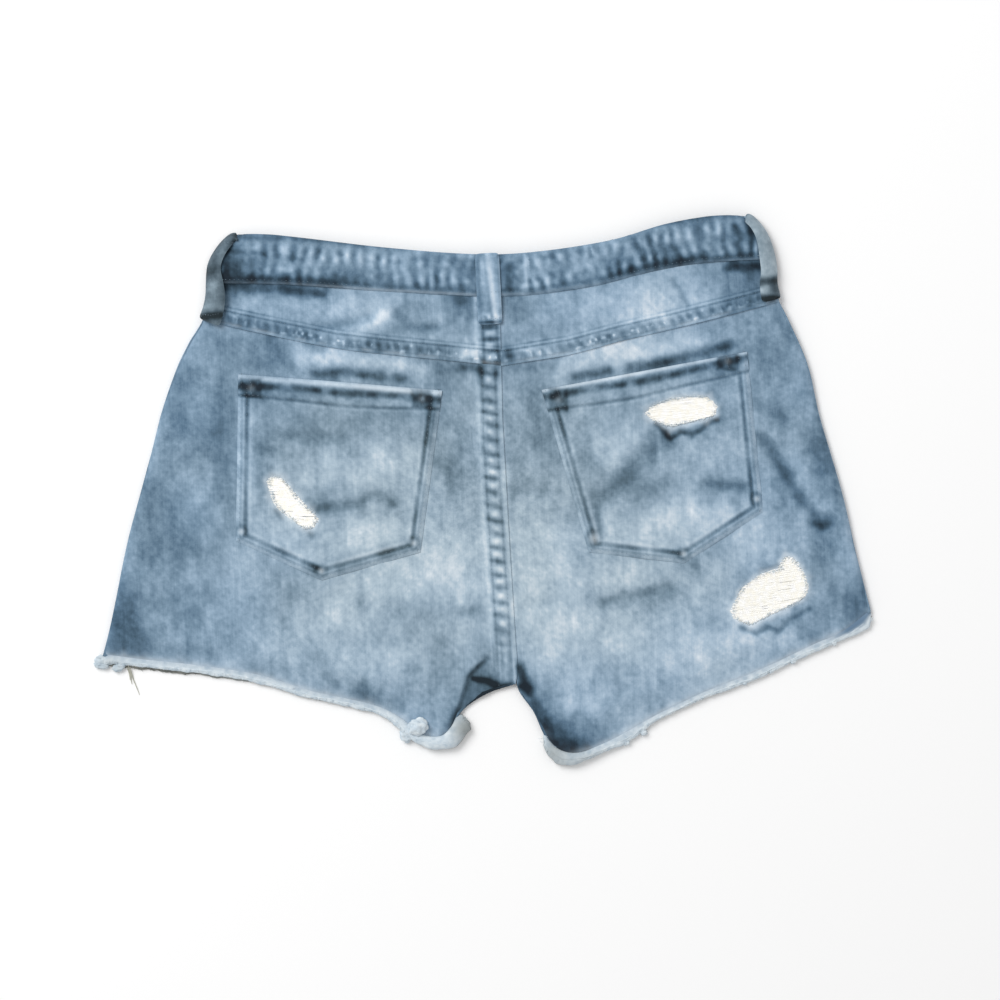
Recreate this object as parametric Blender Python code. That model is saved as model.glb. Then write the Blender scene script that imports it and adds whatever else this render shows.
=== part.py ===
"""Denim shorts with a raw hem, laid flat with the back up.

+X runs across the seat, +Y up to the waist and +Z away from the surface that the front lies on.
The origin is on that surface, under the middle of the outline. Tables and sizes are millimetres.
"""
import math
from bisect import bisect_right
from collections import namedtuple

import bmesh
import bpy
from mathutils import Vector

MM = 0.001

# Colours
DENIM_LIGHT = (0.34, 0.44, 0.54)
DENIM_MID = (0.22, 0.32, 0.43)
FRAY_WHITE = (0.62, 0.68, 0.74)
THREAD_CREAM = (0.88, 0.86, 0.76)
ZIP_TAPE_BLUE = (0.10, 0.14, 0.20)
AGED_BRASS = (0.45, 0.33, 0.18)
CLOTH_ROUGHNESS = 0.9
METAL_ROUGHNESS = 0.4

# Cloth and seams
WALL = 1.5                  # one layer of denim
SEAM_GAP = 0.3              # between two pieces that are sewn together
SEAM_STEPS = 120            # points along a seam's curve, on which its corners are placed
SIDE_GAP = 0.6              # between front and back along the side seams and inseams
HOLLOW = 2.4                # between the front and the back where they lie on each other
HEM_HOLLOW = 0.6            # the same at the raw hem
HEM_TAPER = 26.0            # length of leg over which the back settles down to its hem
FELL_RAISE = 0.9            # how far a felled seam stands above the cloth
FELL_STEP = 1.2             # width of the slope beside it
CENTRE_FELL = 16.0          # width of the felled centre seam
YOKE_FELL = 11.0            # width of the felled yoke seams
YOKE_MIDDLE = 0.7
EDGE_CURL = 5.0             # how far in from a side seam or inseam the cloth starts to turn over
CURL_ANGLES = (0.0, 30.0, 60.0, 90.0)

# Side seam height: half way between the layers, higher where the waistband is in the stack
SEAM_Z_LEG = 2.7
SEAM_Z_WAIST = 5.9
SEAM_RISE_FROM = 70.0
SEAM_RISE_TO = 163.0

# Waistband
BAND_WALL = 3.0
BAND_BACK_TOP = 10.3
BAND_FRONT_WALL = 2.6
BAND_FRONT_LOW = 2.0        # the belt loops and the button lie under the front band
BAND_CURL = 7.0
BAND_EDGE = 0.7             # how much lower the band is along its two long edges
BAND_COLUMNS = 30
FRONT_BAND_COLUMNS = 13
BAND_ROWS = (0.0, 0.06, 0.5, 0.94, 1.0)     # shares of the way down
BAND_TRIM = 0.45            # gap between the waistband and the cloth that it holds
LIFT_START = 14.0           # below the front band the front panels stay lifted this far ...
LIFT_END = 42.0             # ... and lie on the floor from here on
STACK_EASE = 15.0
FLY_X = 14.0

# Patch pockets
POCKET_HEM_RAISE = 0.6      # the hem at the mouth stands above the rest of the pocket

# Belt loops
LOOP_WALL = 1.6

# Button and zip
BUTTON_RADIUS = 8.5
BUTTON_HEAD = 1.6
BUTTON_RIM = 0.5
BUTTON_SHANK = 2.6
BUTTON_HOLE = 3.1
BUTTON_X = 1.0
BUTTON_Y = 136.0
BUTTON_TOP = 4.2
BUTTON_SIDES = 24
ZIP_TAPE = 12.0             # half width
ZIP_TAPE_WALL = 0.8
ZIP_CHAIN = 2.4             # half width
ZIP_CHAIN_RAISE = 0.6
ZIP_CHAIN_SLOPE = 0.6
ZIP_CLEAR = 0.5
ZIP_TOP = 105.0
ZIP_BOTTOM = 30.0
ZIP_ROWS = 8
SLIDER_SIZE = (7.0, 9.0, 1.8)
SLIDER_BEVEL = 0.5

# Frayed hem: a backing strip of five-sided section, with tapered locks of four sides
FRAY_ROOT = 0.55            # share of the fray's width that the backing strip takes
FRAY_LOCK_SHARE = 0.62      # share of the pitch that one lock takes
FRAY_LOCK_REACH = 1.1       # how far the locks vary around the outline
FRAY_LOCK_TURN = 2.4        # step, in radians, of the wave that this variation follows
FRAY_LOCK_LIFT = 0.3        # share of the roll's rise that a lock's tip takes
FRAY_BULGE = 0.5
FRAY_FRONT_LOW = 0.1
FRAY_GAP = 0.7              # between the cloth's edge and the strip
FRAY_ROLL_RISE = 4.2        # extra height of the curled corner beside the inseam
BACK_LOCKS = 46
FRONT_LOCKS = 30

# Threads across the rips
THREAD = 1.2
THREAD_PITCH = 3.2
THREAD_SINK = 0.2
THREAD_WALL = 1.0
RIP_CLEAR = 0.5
RIP_SPAN = 6.0              # the rip is bridged where it is at least this wide
CUTTER_HEIGHT = 30.0

# ---- Outline tables: x, y ----

BAND_TOP = (
    (-163.5, 197.6), (-139.7, 196.2), (-57.4, 182.9), (6.4, 175.2), (47.5, 174.7),
    (104.7, 180.7), (145.0, 190.5), (180.3, 194.8), (202.0, 193.6))
BAND_LOW = (
    (-184.5, 163.5), (-132.0, 160.3), (-58.9, 151.8), (8.6, 145.2), (46.0, 144.4),
    (93.8, 149.1), (130.0, 156.5), (169.4, 161.5), (217.5, 162.0))
# Ends of the waistband: share of the way down, x, y
BAND_END_LEFT = (
    (0, -163.5, 197.6), (0.35, -176.0, 186.0), (0.7, -182.6, 174.0), (1, -184.5, 163.5))
BAND_END_RIGHT = (
    (0, 202.0, 193.6), (0.35, 210.6, 185.0), (0.7, 215.6, 174.5), (1, 217.5, 162.0))
FRONT_BAND_TOP = (
    (-163.5, 197.6), (-120.0, 181.0), (-50.0, 160.5), (14.0, 151.5), (80.0, 158.5),
    (150.0, 178.0), (202.0, 193.6))
FRONT_BAND_LOW = (
    (-184.5, 163.5), (-120.0, 148.0), (-50.0, 128.5), (14.0, 119.5), (80.0, 126.5),
    (150.0, 145.0), (217.5, 162.0))
YOKE_LOW_LEFT = (
    (-191.8, 136.8), (-151.9, 126.3), (-97.5, 112.7), (-61.0, 106.5), (-24.5, 101.1),
    (22.0, 94.3))
YOKE_LOW_RIGHT = (
    (20.0, 94.0), (44.0, 96.8), (72.4, 100.2), (110.0, 108.4), (148.5, 115.5), (186.6, 123.1),
    (223.5, 131.0))
CENTRE_SEAM = ((-140.0, 23.0), (-90.0, 22.4), (-35.0, 21.3), (41.0, 20.3), (83.0, 21.2), (180.0, 23.2))
SIDE_LEFT = (
    (-101.0, -275.2), (-78.0, -268.2), (-16.2, -252.4), (36.5, -235.2), (72.8, -224.3),
    (112.4, -207.8), (136.8, -191.8), (147.0, -187.2), (163.5, -184.5))
SIDE_RIGHT = (
    (-95.0, 279.2), (-53.8, 270.7), (-8.0, 262.3), (46.6, 249.0), (86.6, 241.5), (117.5, 229.7),
    (131.0, 223.5), (142.0, 220.0), (162.0, 217.5))

# ---- Raw hem: the cloth's edge, the outline of its fray, and how far the fray is rolled up ----

HemRow = namedtuple("HemRow", "x y out_x out_y roll")

HEM_LEFT = (
    HemRow(-275.2, -101.0, -280.5, -107.6, 0.1), HemRow(-246.0, -106.0, -247.5, -113.2, 0),
    HemRow(-205.0, -112.5, -206.0, -119.8, 0), HemRow(-164.0, -121.0, -165.5, -127.8, 0),
    HemRow(-127.0, -134.0, -129.0, -139.6, 0), HemRow(-91.0, -144.0, -92.5, -149.8, 0),
    HemRow(-77.0, -149.0, -79.5, -153.5, 0.2), HemRow(-62.0, -158.0, -68.0, -162.8, 0.6),
    HemRow(-52.0, -167.5, -57.5, -173.5, 0.8), HemRow(-42.0, -171.5, -41.8, -180.8, 1),
    HemRow(-33.0, -171.0, -27.0, -181.0, 1), HemRow(-26.0, -165.0, -13.5, -172.5, 1),
    HemRow(-22.3, -159.0, -10.6, -163.5, 0.8), HemRow(-20.5, -155.0, -15.5, -156.8, 0.4))
HEM_RIGHT = (
    HemRow(39.5, -172.0, 38.2, -178.5, 0.4), HemRow(43.0, -178.5, 40.0, -187.0, 0.8),
    HemRow(48.0, -183.8, 46.2, -194.3, 1), HemRow(55.0, -187.3, 55.0, -198.3, 1),
    HemRow(63.0, -188.2, 66.0, -196.0, 0.8), HemRow(81.0, -183.0, 84.5, -188.2, 0.4),
    HemRow(99.0, -175.0, 102.5, -182.2, 0.1), HemRow(117.0, -165.5, 119.5, -169.0, 0),
    HemRow(136.0, -157.0, 138.0, -160.9, 0), HemRow(155.0, -149.0, 157.0, -153.3, 0),
    HemRow(193.0, -136.0, 195.5, -141.5, 0), HemRow(222.0, -124.0, 224.0, -129.3, 0),
    HemRow(241.0, -116.5, 243.0, -122.5, 0), HemRow(260.0, -109.0, 262.0, -114.8, 0),
    HemRow(271.0, -101.5, 277.8, -108.7, 0), HemRow(279.2, -95.0, 280.7, -101.5, 0.1))

# ---- Sections of the panels: the edge beside the centre seam or inseam, the marks across the
# panel, and the height at which the section reaches the side seam. Cells is the number of rows
# down to the next section, curl how far the inner edge is turned over. An inner x of None lies
# on the centre seam. ----

Section = namedtuple("Section", "name x y marks side_y cells curl")

BACK_LEFT = (
    Section("yoke seam", None, 94.3, ((-24.5, 101.1), (-97.5, 112.7), (-165.0, 129.5)), 136.8, 2, 0),
    Section("pocket mouth", None, 73.0, ((-22.1, 78.4), (-94.9, 88.0), (-167.8, 97.0)), 108.0, 1, 0),
    Section("pocket hem", None, 58.3, ((-24.8, 63.2), (-97.4, 72.0), (-168.7, 82.2)), 94.0, 1, 0),
    Section("pocket body", None, 57.1, ((-25.0, 62.0), (-97.6, 70.8), (-168.8, 81.0)), 93.0, 5, 0),
    Section("pocket foot", None, -40.0, ((-43.2, -36.9), (-114.7, -53.7), (-175.2, -22.7)), -16.0, 4, 0),
    Section("above crotch", None, -127.0,
            ((-50.0, -112.0), (-121.0, -100.0), (-190.0, -76.0)), -62.0, 1, 0.25),
    Section("crotch", 21.0, -135.2, ((-53.0, -120.0), (-122.0, -107.0), (-193.0, -86.0)), -76.0, 1, 1),
    Section("thigh", -1.0, -141.8, ((-60.0, -131.0), (-123.0, -117.0), (-198.0, -96.0)), -86.0, 1, 1),
    Section("curl", -20.5, -155.0, ((-70.0, -142.0), (-125.5, -127.0), (-202.0, -105.0)), -94.0, 1, 1),
    Section("hem", -25.5, -164.3, ((-77.0, -149.0), (-127.0, -134.0), (-205.0, -112.5)), -101.0, 0, 1))
BACK_RIGHT = (
    Section("yoke seam", None, 94.0, ((50.0, 97.6), (124.0, 111.0), (195.0, 124.9)), 131.0, 2, 0),
    Section("pocket mouth", None, 72.0, ((50.0, 75.5), (124.3, 85.7), (198.7, 95.9)), 104.0, 1, 0),
    Section("pocket hem", None, 58.3, ((53.4, 61.3), (127.2, 68.7), (199.4, 82.0)), 90.0, 1, 0),
    Section("pocket body", None, 57.1, ((53.7, 60.1), (127.4, 67.4), (199.5, 80.8)), 89.0, 5, 0),
    Section("pocket foot", None, -45.0, ((78.3, -42.6), (146.3, -53.7), (204.8, -19.7)), -12.0, 4, 0),
    Section("above crotch", None, -128.5,
            ((74.0, -128.0), (144.0, -115.0), (206.0, -78.0)), -52.0, 1, 0.25),
    Section("crotch", 22.2, -137.0, ((72.0, -142.0), (142.0, -126.0), (205.0, -92.0)), -66.0, 1, 1),
    Section("thigh", 33.4, -156.5, ((72.0, -158.0), (141.0, -138.0), (204.0, -106.0)), -77.0, 1, 1),
    Section("curl", 39.5, -172.0, ((74.0, -172.0), (138.0, -148.0), (203.0, -119.0)), -86.0, 1, 1),
    Section("hem", 45.0, -180.7, ((78.0, -183.8), (136.0, -157.0), (203.0, -132.2)), -95.0, 0, 1))
FRONT_LEFT = (
    Section("band seam", 14.0, 119.5, ((-70.0, 134.2),), 163.5, 1, 0),
    Section("lift start", 14.0, 105.0, ((-74.0, 119.6),), 149.0, 2, 0),
    Section("lift end", 14.0, 77.5, ((-82.0, 92.0),), 121.0, 1, 0),
    Section("hip", 14.0, 40.0, ((-100.0, 50.0),), 84.0, 4, 0),
    Section("above crotch", 20.5, -127.0, ((-121.0, -100.0),), -62.0, 1, 0.25),
    Section("crotch", 21.0, -135.2, ((-122.0, -107.0),), -76.0, 1, 1),
    Section("thigh", -1.0, -141.8, ((-123.0, -117.0),), -86.0, 1, 1),
    Section("curl", -20.5, -155.0, ((-125.5, -127.0),), -94.0, 1, 1),
    Section("hem", -25.5, -164.3, ((-127.0, -134.0),), -101.0, 0, 1))
FRONT_RIGHT = (
    Section("band seam", 14.0, 119.5, ((105.0, 132.4),), 162.0, 1, 0),
    Section("lift start", 14.0, 105.0, ((109.0, 118.2),), 148.0, 2, 0),
    Section("lift end", 14.0, 77.5, ((115.0, 90.7),), 120.0, 1, 0),
    Section("hip", 14.0, 40.0, ((124.0, 50.0),), 84.0, 4, 0),
    Section("above crotch", 20.56, -128.5, ((144.0, -115.0),), -52.0, 1, 0.25),
    Section("crotch", 22.2, -137.0, ((142.0, -126.0),), -66.0, 1, 1),
    Section("thigh", 33.4, -156.5, ((141.0, -138.0),), -77.0, 1, 1),
    Section("curl", 39.5, -172.0, ((138.0, -148.0),), -86.0, 1, 1),
    Section("hem", 45.0, -180.7, ((136.0, -157.0),), -95.0, 0, 1))
BACK_CELLS = (7, 4, 4, 3)       # columns between two marks, from the centre to the side
FRONT_CELLS = (9, 5)
POCKET_MOUTH = 1                # places of these sections in the tables of the back
POCKET_BODY = 3
POCKET_FOOT = 4

# ---- Largest folds of the back: two ends, width and height (below nought a trough) ----

Fold = namedtuple("Fold", "name x0 y0 x1 y1 width lift")

FOLDS = (
    Fold("under the band, left", -176.0, 156.0, -96.0, 148.0, 10.0, -1.5),
    Fold("under the band, right", 186.0, 154.0, 216.0, 152.0, 10.0, -1.4),
    Fold("yoke crease, left", -112.0, 128.0, -72.0, 139.0, 7.0, -1.1),
    Fold("yoke crease, centre", -54.0, 136.0, -23.0, 122.0, 7.0, -1.0),
    Fold("seat swell, left", -120.0, 30.0, -80.0, -20.0, 48.0, 0.9),
    Fold("seat swell, right", 110.0, 20.0, 150.0, -10.0, 46.0, 0.9),
    Fold("hip crease, right", 208.0, 30.0, 250.0, -44.0, 9.0, -1.6),
    Fold("hip ridge, right", 222.0, 36.0, 258.0, -30.0, 8.0, 1.0),
    Fold("leg crease, right", 84.0, -80.0, 138.0, -72.0, 12.0, -0.9),
    Fold("leg ridge, right", 120.0, -120.0, 190.0, -108.0, 16.0, 0.8),
    Fold("leg crease, left", -100.0, -64.0, -76.0, -76.0, 12.0, -0.9),
    Fold("leg ridge, left", -122.0, -112.0, -74.0, -128.0, 12.0, 0.9),
    Fold("side roll, left", -226.0, 30.0, -244.0, -50.0, 14.0, 0.6),
    Fold("crotch roll, left", 2.0, -108.0, -32.0, -150.0, 9.0, 1.2),
    Fold("crotch trough", 14.0, -122.0, -2.0, -134.0, 7.0, -1.3),
    Fold("crotch roll, right", 36.0, -122.0, 52.0, -160.0, 10.0, 1.1))

# ---- Rips: outline of each hole, x, y ----

RIP_LEG = (
    (180.1, -89.4), (187.9, -74.5), (203.1, -64.1), (215.8, -60.6), (219.8, -52.7), (225.3, -55.0),
    (230.9, -64.9), (233.9, -75.7), (230.0, -83.1), (206.7, -93.6), (191.3, -100.0), (181.9, -95.0))
RIP_POCKET_RIGHT = (
    (125.1, 55.0), (128.9, 59.4), (148.3, 65.5), (168.5, 64.1), (173.8, 57.8), (172.0, 51.3),
    (152.5, 47.2), (142.3, 45.2), (129.0, 50.8))
RIP_POCKET_LEFT = (
    (-149.5, 18.7), (-146.4, 21.9), (-141.5, 21.2), (-128.7, 4.5), (-116.9, -10.1), (-120.1, -15.4),
    (-124.2, -16.0), (-135.4, -7.2), (-144.5, 1.1), (-147.1, 7.4))

# ---- Belt loops: outer edge x, y, width, height of the top face ----

LoopRow = namedtuple("LoopRow", "x y width top")

LOOP_LEFT = (
    LoopRow(-164.5, 199.6, 7.0, 12.4), LoopRow(-168.6, 198.8, 7.0, 12.5), LoopRow(-173.4, 195.4, 7.5, 12.6),
    LoopRow(-181.0, 187.0, 8.5, 13.0), LoopRow(-186.4, 177.0, 10.0, 13.2),
    LoopRow(-188.0, 166.0, 12.5, 13.0), LoopRow(-188.9, 155.0, 14.5, 12.4),
    LoopRow(-191.2, 146.0, 15.5, 12.0), LoopRow(-194.5, 139.0, 16.5, 11.8))
LOOP_RIGHT = (
    LoopRow(202.8, 195.8, 7.5, 12.4), LoopRow(206.4, 194.9, 7.5, 12.5), LoopRow(210.0, 191.6, 7.5, 12.6),
    LoopRow(215.0, 185.2, 8.5, 13.0), LoopRow(219.2, 176.4, 10.0, 13.2),
    LoopRow(222.0, 165.6, 11.5, 13.0), LoopRow(223.4, 154.0, 12.0, 12.4),
    LoopRow(223.0, 144.0, 13.0, 12.0), LoopRow(225.2, 133.6, 14.5, 11.8))
LOOP_CENTRE_X = (6.5, 23.5)
LOOP_CENTRE = (             # y, height of the top face
    (175.4, 11.2), (173.4, 12.3), (160.0, 12.6), (148.0, 12.6), (138.0, 12.3), (128.0, 11.8),
    (124.5, 11.4))
LOOP_ANGLES = (4.0, 24.0, 46.0, 68.0, 90.0)
LOOP_LOW = 5.8
LOOP_FRONT_WIDTH = 12.0
LOOP_FRONT_ROWS = 4
LOOP_FRONT_X = (-88.0, 124.0)
LOOP_FRONT_BELOW = 11.0     # how far a front loop reaches below the band


# ---- Curves ----

def value_at(pairs, place):
    """Smooth curve through (place, value) pairs, read at one place."""
    last = len(pairs) - 1
    index = min(max(bisect_right([pair[0] for pair in pairs], place) - 1, 0), last - 1)

    def slope(at):
        before = pairs[max(at - 1, 0)]
        after = pairs[min(at + 1, last)]
        return (after[1] - before[1]) / (after[0] - before[0])

    (start, first), (end, second) = pairs[index], pairs[index + 1]
    span = end - start
    t = (place - start) / span
    blend = t * t * (3 - 2 * t)
    swing_in = t * (1 - t) * (1 - t) * span * slope(index)
    swing_out = t * t * (t - 1) * span * slope(index + 1)
    return first + (second - first) * blend + swing_in + swing_out


def curve_points(table, count):
    """Count + 1 points, evenly spaced along the smooth curve through a table of x, y."""
    lengths = [0.0]
    for here, there in zip(table, table[1:]):
        lengths.append(lengths[-1] + math.dist(here, there))
    along_x = [(length, row[0]) for length, row in zip(lengths, table)]
    along_y = [(length, row[1]) for length, row in zip(lengths, table)]
    places = [lengths[-1] * step / count for step in range(count + 1)]
    return [Vector((value_at(along_x, place), value_at(along_y, place))) for place in places]


def ease(t):
    """Smooth step from 0 to 1."""
    t = min(max(t, 0.0), 1.0)
    return t * t * (3 - 2 * t)


def inward_normals(line, towards):
    """Unit normals along a line of 2D points, on the side of a point, longer at corners."""
    normals = []
    for index, point in enumerate(line):
        before = line[max(index - 1, 0)]
        after = line[min(index + 1, len(line) - 1)]
        along = (after - before).normalized()
        normal = Vector((-along.y, along.x))
        if normal.dot(towards - point) < 0:
            normal = -normal
        normals.append(normal)
    return normals


# ---- Heights of the layers ----

def front_face(x, y):
    """Outer face of the front, which lies on the floor but for its rise to the waistband."""
    below = value_at(FRONT_BAND_LOW, x) - y
    return BAND_FRONT_LOW * ease((LIFT_END - below) / (LIFT_END - LIFT_START))


def fold_height(x, y):
    """Rise of the back's folds above its even lie."""
    total = 0.0
    for fold in FOLDS:
        start = Vector((fold.x0, fold.y0))
        run = Vector((fold.x1, fold.y1)) - start
        share = (Vector((x, y)) - start).dot(run) / run.length_squared
        nearest = start + run * min(max(share, 0.0), 1.0)
        distance = (Vector((x, y)) - nearest).length
        total += fold.lift * math.exp(-(distance / fold.width) ** 2)
    return total


def back_face(x, y):
    """Outer face of the back, which lies on the front and on the front waistband."""
    below = value_at(FRONT_BAND_LOW, x) - y
    over_band = BAND_FRONT_WALL - WALL
    stack = front_face(x, y) + over_band * ease(1 - below / STACK_EASE)
    return stack + WALL + HOLLOW + WALL + fold_height(x, y)


def seam_height(y):
    """Height at which front and back meet along the side seams and inseams."""
    rise = (y - SEAM_RISE_FROM) / (SEAM_RISE_TO - SEAM_RISE_FROM)
    return SEAM_Z_LEG + (SEAM_Z_WAIST - SEAM_Z_LEG) * min(max(rise, 0.0), 1.0)


# ---- Meshes ----

def new_object(name, mesh, colour, roughness, metallic=0.0):
    """Named object with a material of its own."""
    material = bpy.data.materials.new(name)
    material.use_nodes = True
    shader = material.node_tree.nodes["Principled BSDF"]
    shader.inputs["Base Color"].default_value = (*colour, 1.0)
    shader.inputs["Roughness"].default_value = roughness
    shader.inputs["Metallic"].default_value = metallic
    mesh.materials.append(material)
    part = bpy.data.objects.new(name, mesh)
    bpy.context.scene.collection.objects.link(part)
    return part


def closed_mesh(name, points, faces):
    """Mesh in metres from millimetre points and faces, with its faces turned outward."""
    mesh = bpy.data.meshes.new(name)
    mesh.from_pydata([Vector(point) * MM for point in points], [], faces)
    shell = bmesh.new()
    shell.from_mesh(mesh)
    bmesh.ops.recalc_face_normals(shell, faces=shell.faces)
    shell.to_mesh(mesh)
    shell.free()
    return mesh


def sheet_mesh(name, outer, inner, is_open=None):
    """Wall between two grids of points; is_open(row, column) leaves a cell out."""
    rows, columns = len(outer), len(outer[0])
    points = [point for grid in (outer, inner) for row in grid for point in row]
    layer = rows * columns
    used = {
        (row, column)
        for row in range(rows - 1) for column in range(columns - 1)
        if is_open is None or not is_open(row, column)}
    faces = []
    for row, column in sorted(used):
        a = row * columns + column
        b, c, d = a + 1, a + columns + 1, a + columns
        faces += [(a, b, c), (a, c, d)]
        faces += [(a + layer, c + layer, b + layer), (a + layer, d + layer, c + layer)]
        edges = (
            ((row - 1, column), a, b), ((row, column + 1), b, c),
            ((row + 1, column), c, d), ((row, column - 1), d, a))
        for neighbour, start, end in edges:
            if neighbour not in used:
                faces.append((start, end, end + layer))
                faces.append((start, end + layer, start + layer))
    kept = sorted({corner for face in faces for corner in face})
    renumbered = {corner: place for place, corner in enumerate(kept)}
    faces = [tuple(renumbered[corner] for corner in face) for face in faces]
    return closed_mesh(name, [points[corner] for corner in kept], faces)


# ---- Panels: rows of stations from the inner edge to the side edge ----

Station = namedtuple("Station", "point lean rise raised")
EdgeRow = namedtuple("EdgeRow", "inner side curl section share")


def turned(point, direction, curl, angle, raised=0.0):
    """Station in a turned-over edge: at 90 degrees the cloth lies flat, at 0 it stands up."""
    radians = math.radians(angle)
    rise = 1 - curl * (1 - math.sin(radians))
    return Station(point, direction * curl * math.cos(radians), rise, raised)


def turn_share(angle):
    """How far into a turned-over edge an angle lies, from 0 at the edge to 1."""
    return 1 - math.cos(math.radians(angle))


def flat(point, raised=0.0):
    return Station(point, Vector((0, 0)), 1.0, raised)


def moved(row, distance):
    """Row of stations moved along Y."""
    shift = Vector((0, distance))
    return [station._replace(point=station.point + shift) for station in row]


def seam_line(pairs, start_x, end_x):
    """Finely broken line along the smooth curve through x, y pairs."""
    places = [start_x + (end_x - start_x) * step / SEAM_STEPS for step in range(SEAM_STEPS + 1)]
    return [Vector((x, value_at(pairs, x))) for x in places]


def walk(line, distance):
    """Point at a distance along a broken line, and the direction there."""
    for here, there in zip(line, line[1:]):
        run = there - here
        if distance <= run.length:
            break
        distance -= run.length
    return here + run.normalized() * distance, run.normalized()


def edge_rows(sections, side):
    """The two edges of a panel, row by row."""
    rows = []
    places = [
        (index, step / section.cells)
        for index, section in enumerate(sections) for step in range(section.cells)]
    places.append((len(sections) - 2, 1.0))
    for index, share in places:
        here, there = sections[index], sections[index + 1]
        here_x = value_at(CENTRE_SEAM, here.y) if here.x is None else here.x
        there_x = value_at(CENTRE_SEAM, there.y) if there.x is None else there.x
        inner = Vector((here_x, here.y)).lerp(Vector((there_x, there.y)), share)
        side_y = here.side_y + (there.side_y - here.side_y) * share
        curl = here.curl + (there.curl - here.curl) * share
        rows.append(EdgeRow(inner, Vector((value_at(side, side_y), side_y)), curl, index, share))
    return rows


def panel_stations(sections, side, cells, top, bottom, lap):
    """Stations of one panel; lap raises the felled centre seam that it carries."""
    rows = edge_rows(sections, side)
    last = len(rows) - 1
    middle = Vector(sections[len(sections) // 2].marks[0])
    normals = [
        inward_normals([row.inner for row in rows], middle),
        inward_normals([row.side for row in rows], middle)]
    seams = {
        place: seam_line(pairs, rows[place].inner.x, rows[place].side.x)
        for place, pairs in ((0, top), (last, bottom))}

    def inward(place, distance, at_side):
        """Point in from one edge of a row, along the seam on the first and last row."""
        if place in seams:
            return walk(seams[place][::-1] if at_side else seams[place], distance)
        normal = normals[at_side][place]
        return (rows[place].side if at_side else rows[place].inner) + normal * distance, normal

    def inner_part(place):
        curl = rows[place].curl
        raised = FELL_RAISE * (1 - curl) if lap else 0.0
        part = []
        for angle in CURL_ANGLES:
            distance = SEAM_GAP / 2 + EDGE_CURL * turn_share(angle)
            part.append(turned(*inward(place, distance, 0), curl, angle, raised))
        if lap:
            part.append(flat(inward(place, CENTRE_FELL, 0)[0], raised))
            part.append(flat(inward(place, CENTRE_FELL + FELL_STEP, 0)[0]))
        return part

    def side_part(place):
        return [
            turned(*inward(place, EDGE_CURL * turn_share(angle), 1), 1, angle)
            for angle in CURL_ANGLES[-2::-1]]

    def field(place, marks):
        ends = [inner_part(place)[-1].point, inward(place, EDGE_CURL, 1)[0]]
        corners = [ends[0], *[Vector(mark) for mark in marks], ends[1]]
        return [
            here.lerp(there, step / count)
            for here, there, count in zip(corners, corners[1:], cells)
            for step in range(1, count + 1)]

    fields = [
        field(sum(above.cells for above in sections[:index]), section.marks)
        for index, section in enumerate(sections)]
    for points, edge in ((fields[0], top), (fields[-1], bottom)):
        for point in points:
            point.y = value_at(edge, point.x)
    stations = []
    for place, row in enumerate(rows):
        points = [a.lerp(b, row.share) for a, b in zip(fields[row.section], fields[row.section + 1])]
        shift = inward(place, EDGE_CURL, 1)[0] - points[-1]
        for step in range(cells[-1]):
            points[step - cells[-1]] += shift * (step + 1) / cells[-1]
        stations.append(inner_part(place) + [flat(point) for point in points] + side_part(place))
    return stations


def wall_grids(stations, face, above, wall=WALL, drops=None):
    """Outer and inner points of a wall; above is 1 on the back and -1 on the front."""
    outer, inner = [], []
    for index, row in enumerate(stations):
        drop = drops[index] if drops else 0.0
        outer.append([])
        inner.append([])
        for station in row:
            x, y = station.point
            seam = seam_height(y) + above * SIDE_GAP / 2
            z = seam + (face(x, y) - drop - seam) * station.rise
            depth = wall * math.sqrt(max(1 - station.lean.length_squared, 0.0))
            under = station.point + station.lean * wall
            outer[-1].append(Vector((x, y, z + above * station.raised)))
            inner[-1].append(Vector((*under, z - above * depth)))
    return outer, inner


def hem_drops(stations):
    """How far each row of the back has settled onto the front on its way to the hem."""
    column = len(stations[0]) // 2
    hem = stations[-1][column].point
    settle = HOLLOW - HEM_HOLLOW
    return [settle * ease(1 - (row[column].point - hem).length / HEM_TAPER) for row in stations]


def hem_curve(table):
    """Pairs x, y along the cloth's edge at a raw hem."""
    return sorted((row.x, row.y) for row in table)


def raw_edge(outer):
    """Line of a leg's raw edge, with the last of its curled inner corner."""
    return [outer[-2][0].xy, *[point.xy for point in outer[-1]]]


# ---- Pieces ----

def back_panel(name, sections, side, hem, lap):
    """One leg's back, its pocket's share of the outer points, and the line of its hem."""
    yoke_low = YOKE_LOW_LEFT if lap else YOKE_LOW_RIGHT
    stations = panel_stations(sections, side, BACK_CELLS, yoke_low, hem_curve(hem), lap)
    stations[0] = moved(stations[0], -SEAM_GAP / 2)
    outer, inner = wall_grids(stations, back_face, 1, drops=hem_drops(stations))
    panel = new_object(name, sheet_mesh(name, outer, inner), DENIM_LIGHT, CLOTH_ROUGHNESS)
    first_row, body_row, last_row = [
        sum(section.cells for section in sections[:index])
        for index in (POCKET_MOUTH, POCKET_BODY, POCKET_FOOT)]
    edge_columns = len(CURL_ANGLES) + (2 if lap else 0)
    first = edge_columns + BACK_CELLS[0] - 1
    last = first + BACK_CELLS[1] + BACK_CELLS[2]
    under = [row[first:last + 1] for row in outer[first_row:last_row + 1]]
    return panel, under, body_row - first_row, raw_edge(outer)


def patch_pocket(name, under, body_row):
    """Pocket made from the panel's outer points, moved out, with a thicker hem at its mouth."""
    inner = [[point + Vector((0, 0, SEAM_GAP)) for point in row] for row in under]
    outer = []
    for index, row in enumerate(inner):
        rise = WALL + (POCKET_HEM_RAISE if index < body_row else 0.0)
        outer.append([point + Vector((0, 0, rise)) for point in row])
    return new_object(name, sheet_mesh(name, outer, inner), DENIM_LIGHT, CLOTH_ROUGHNESS)


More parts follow.
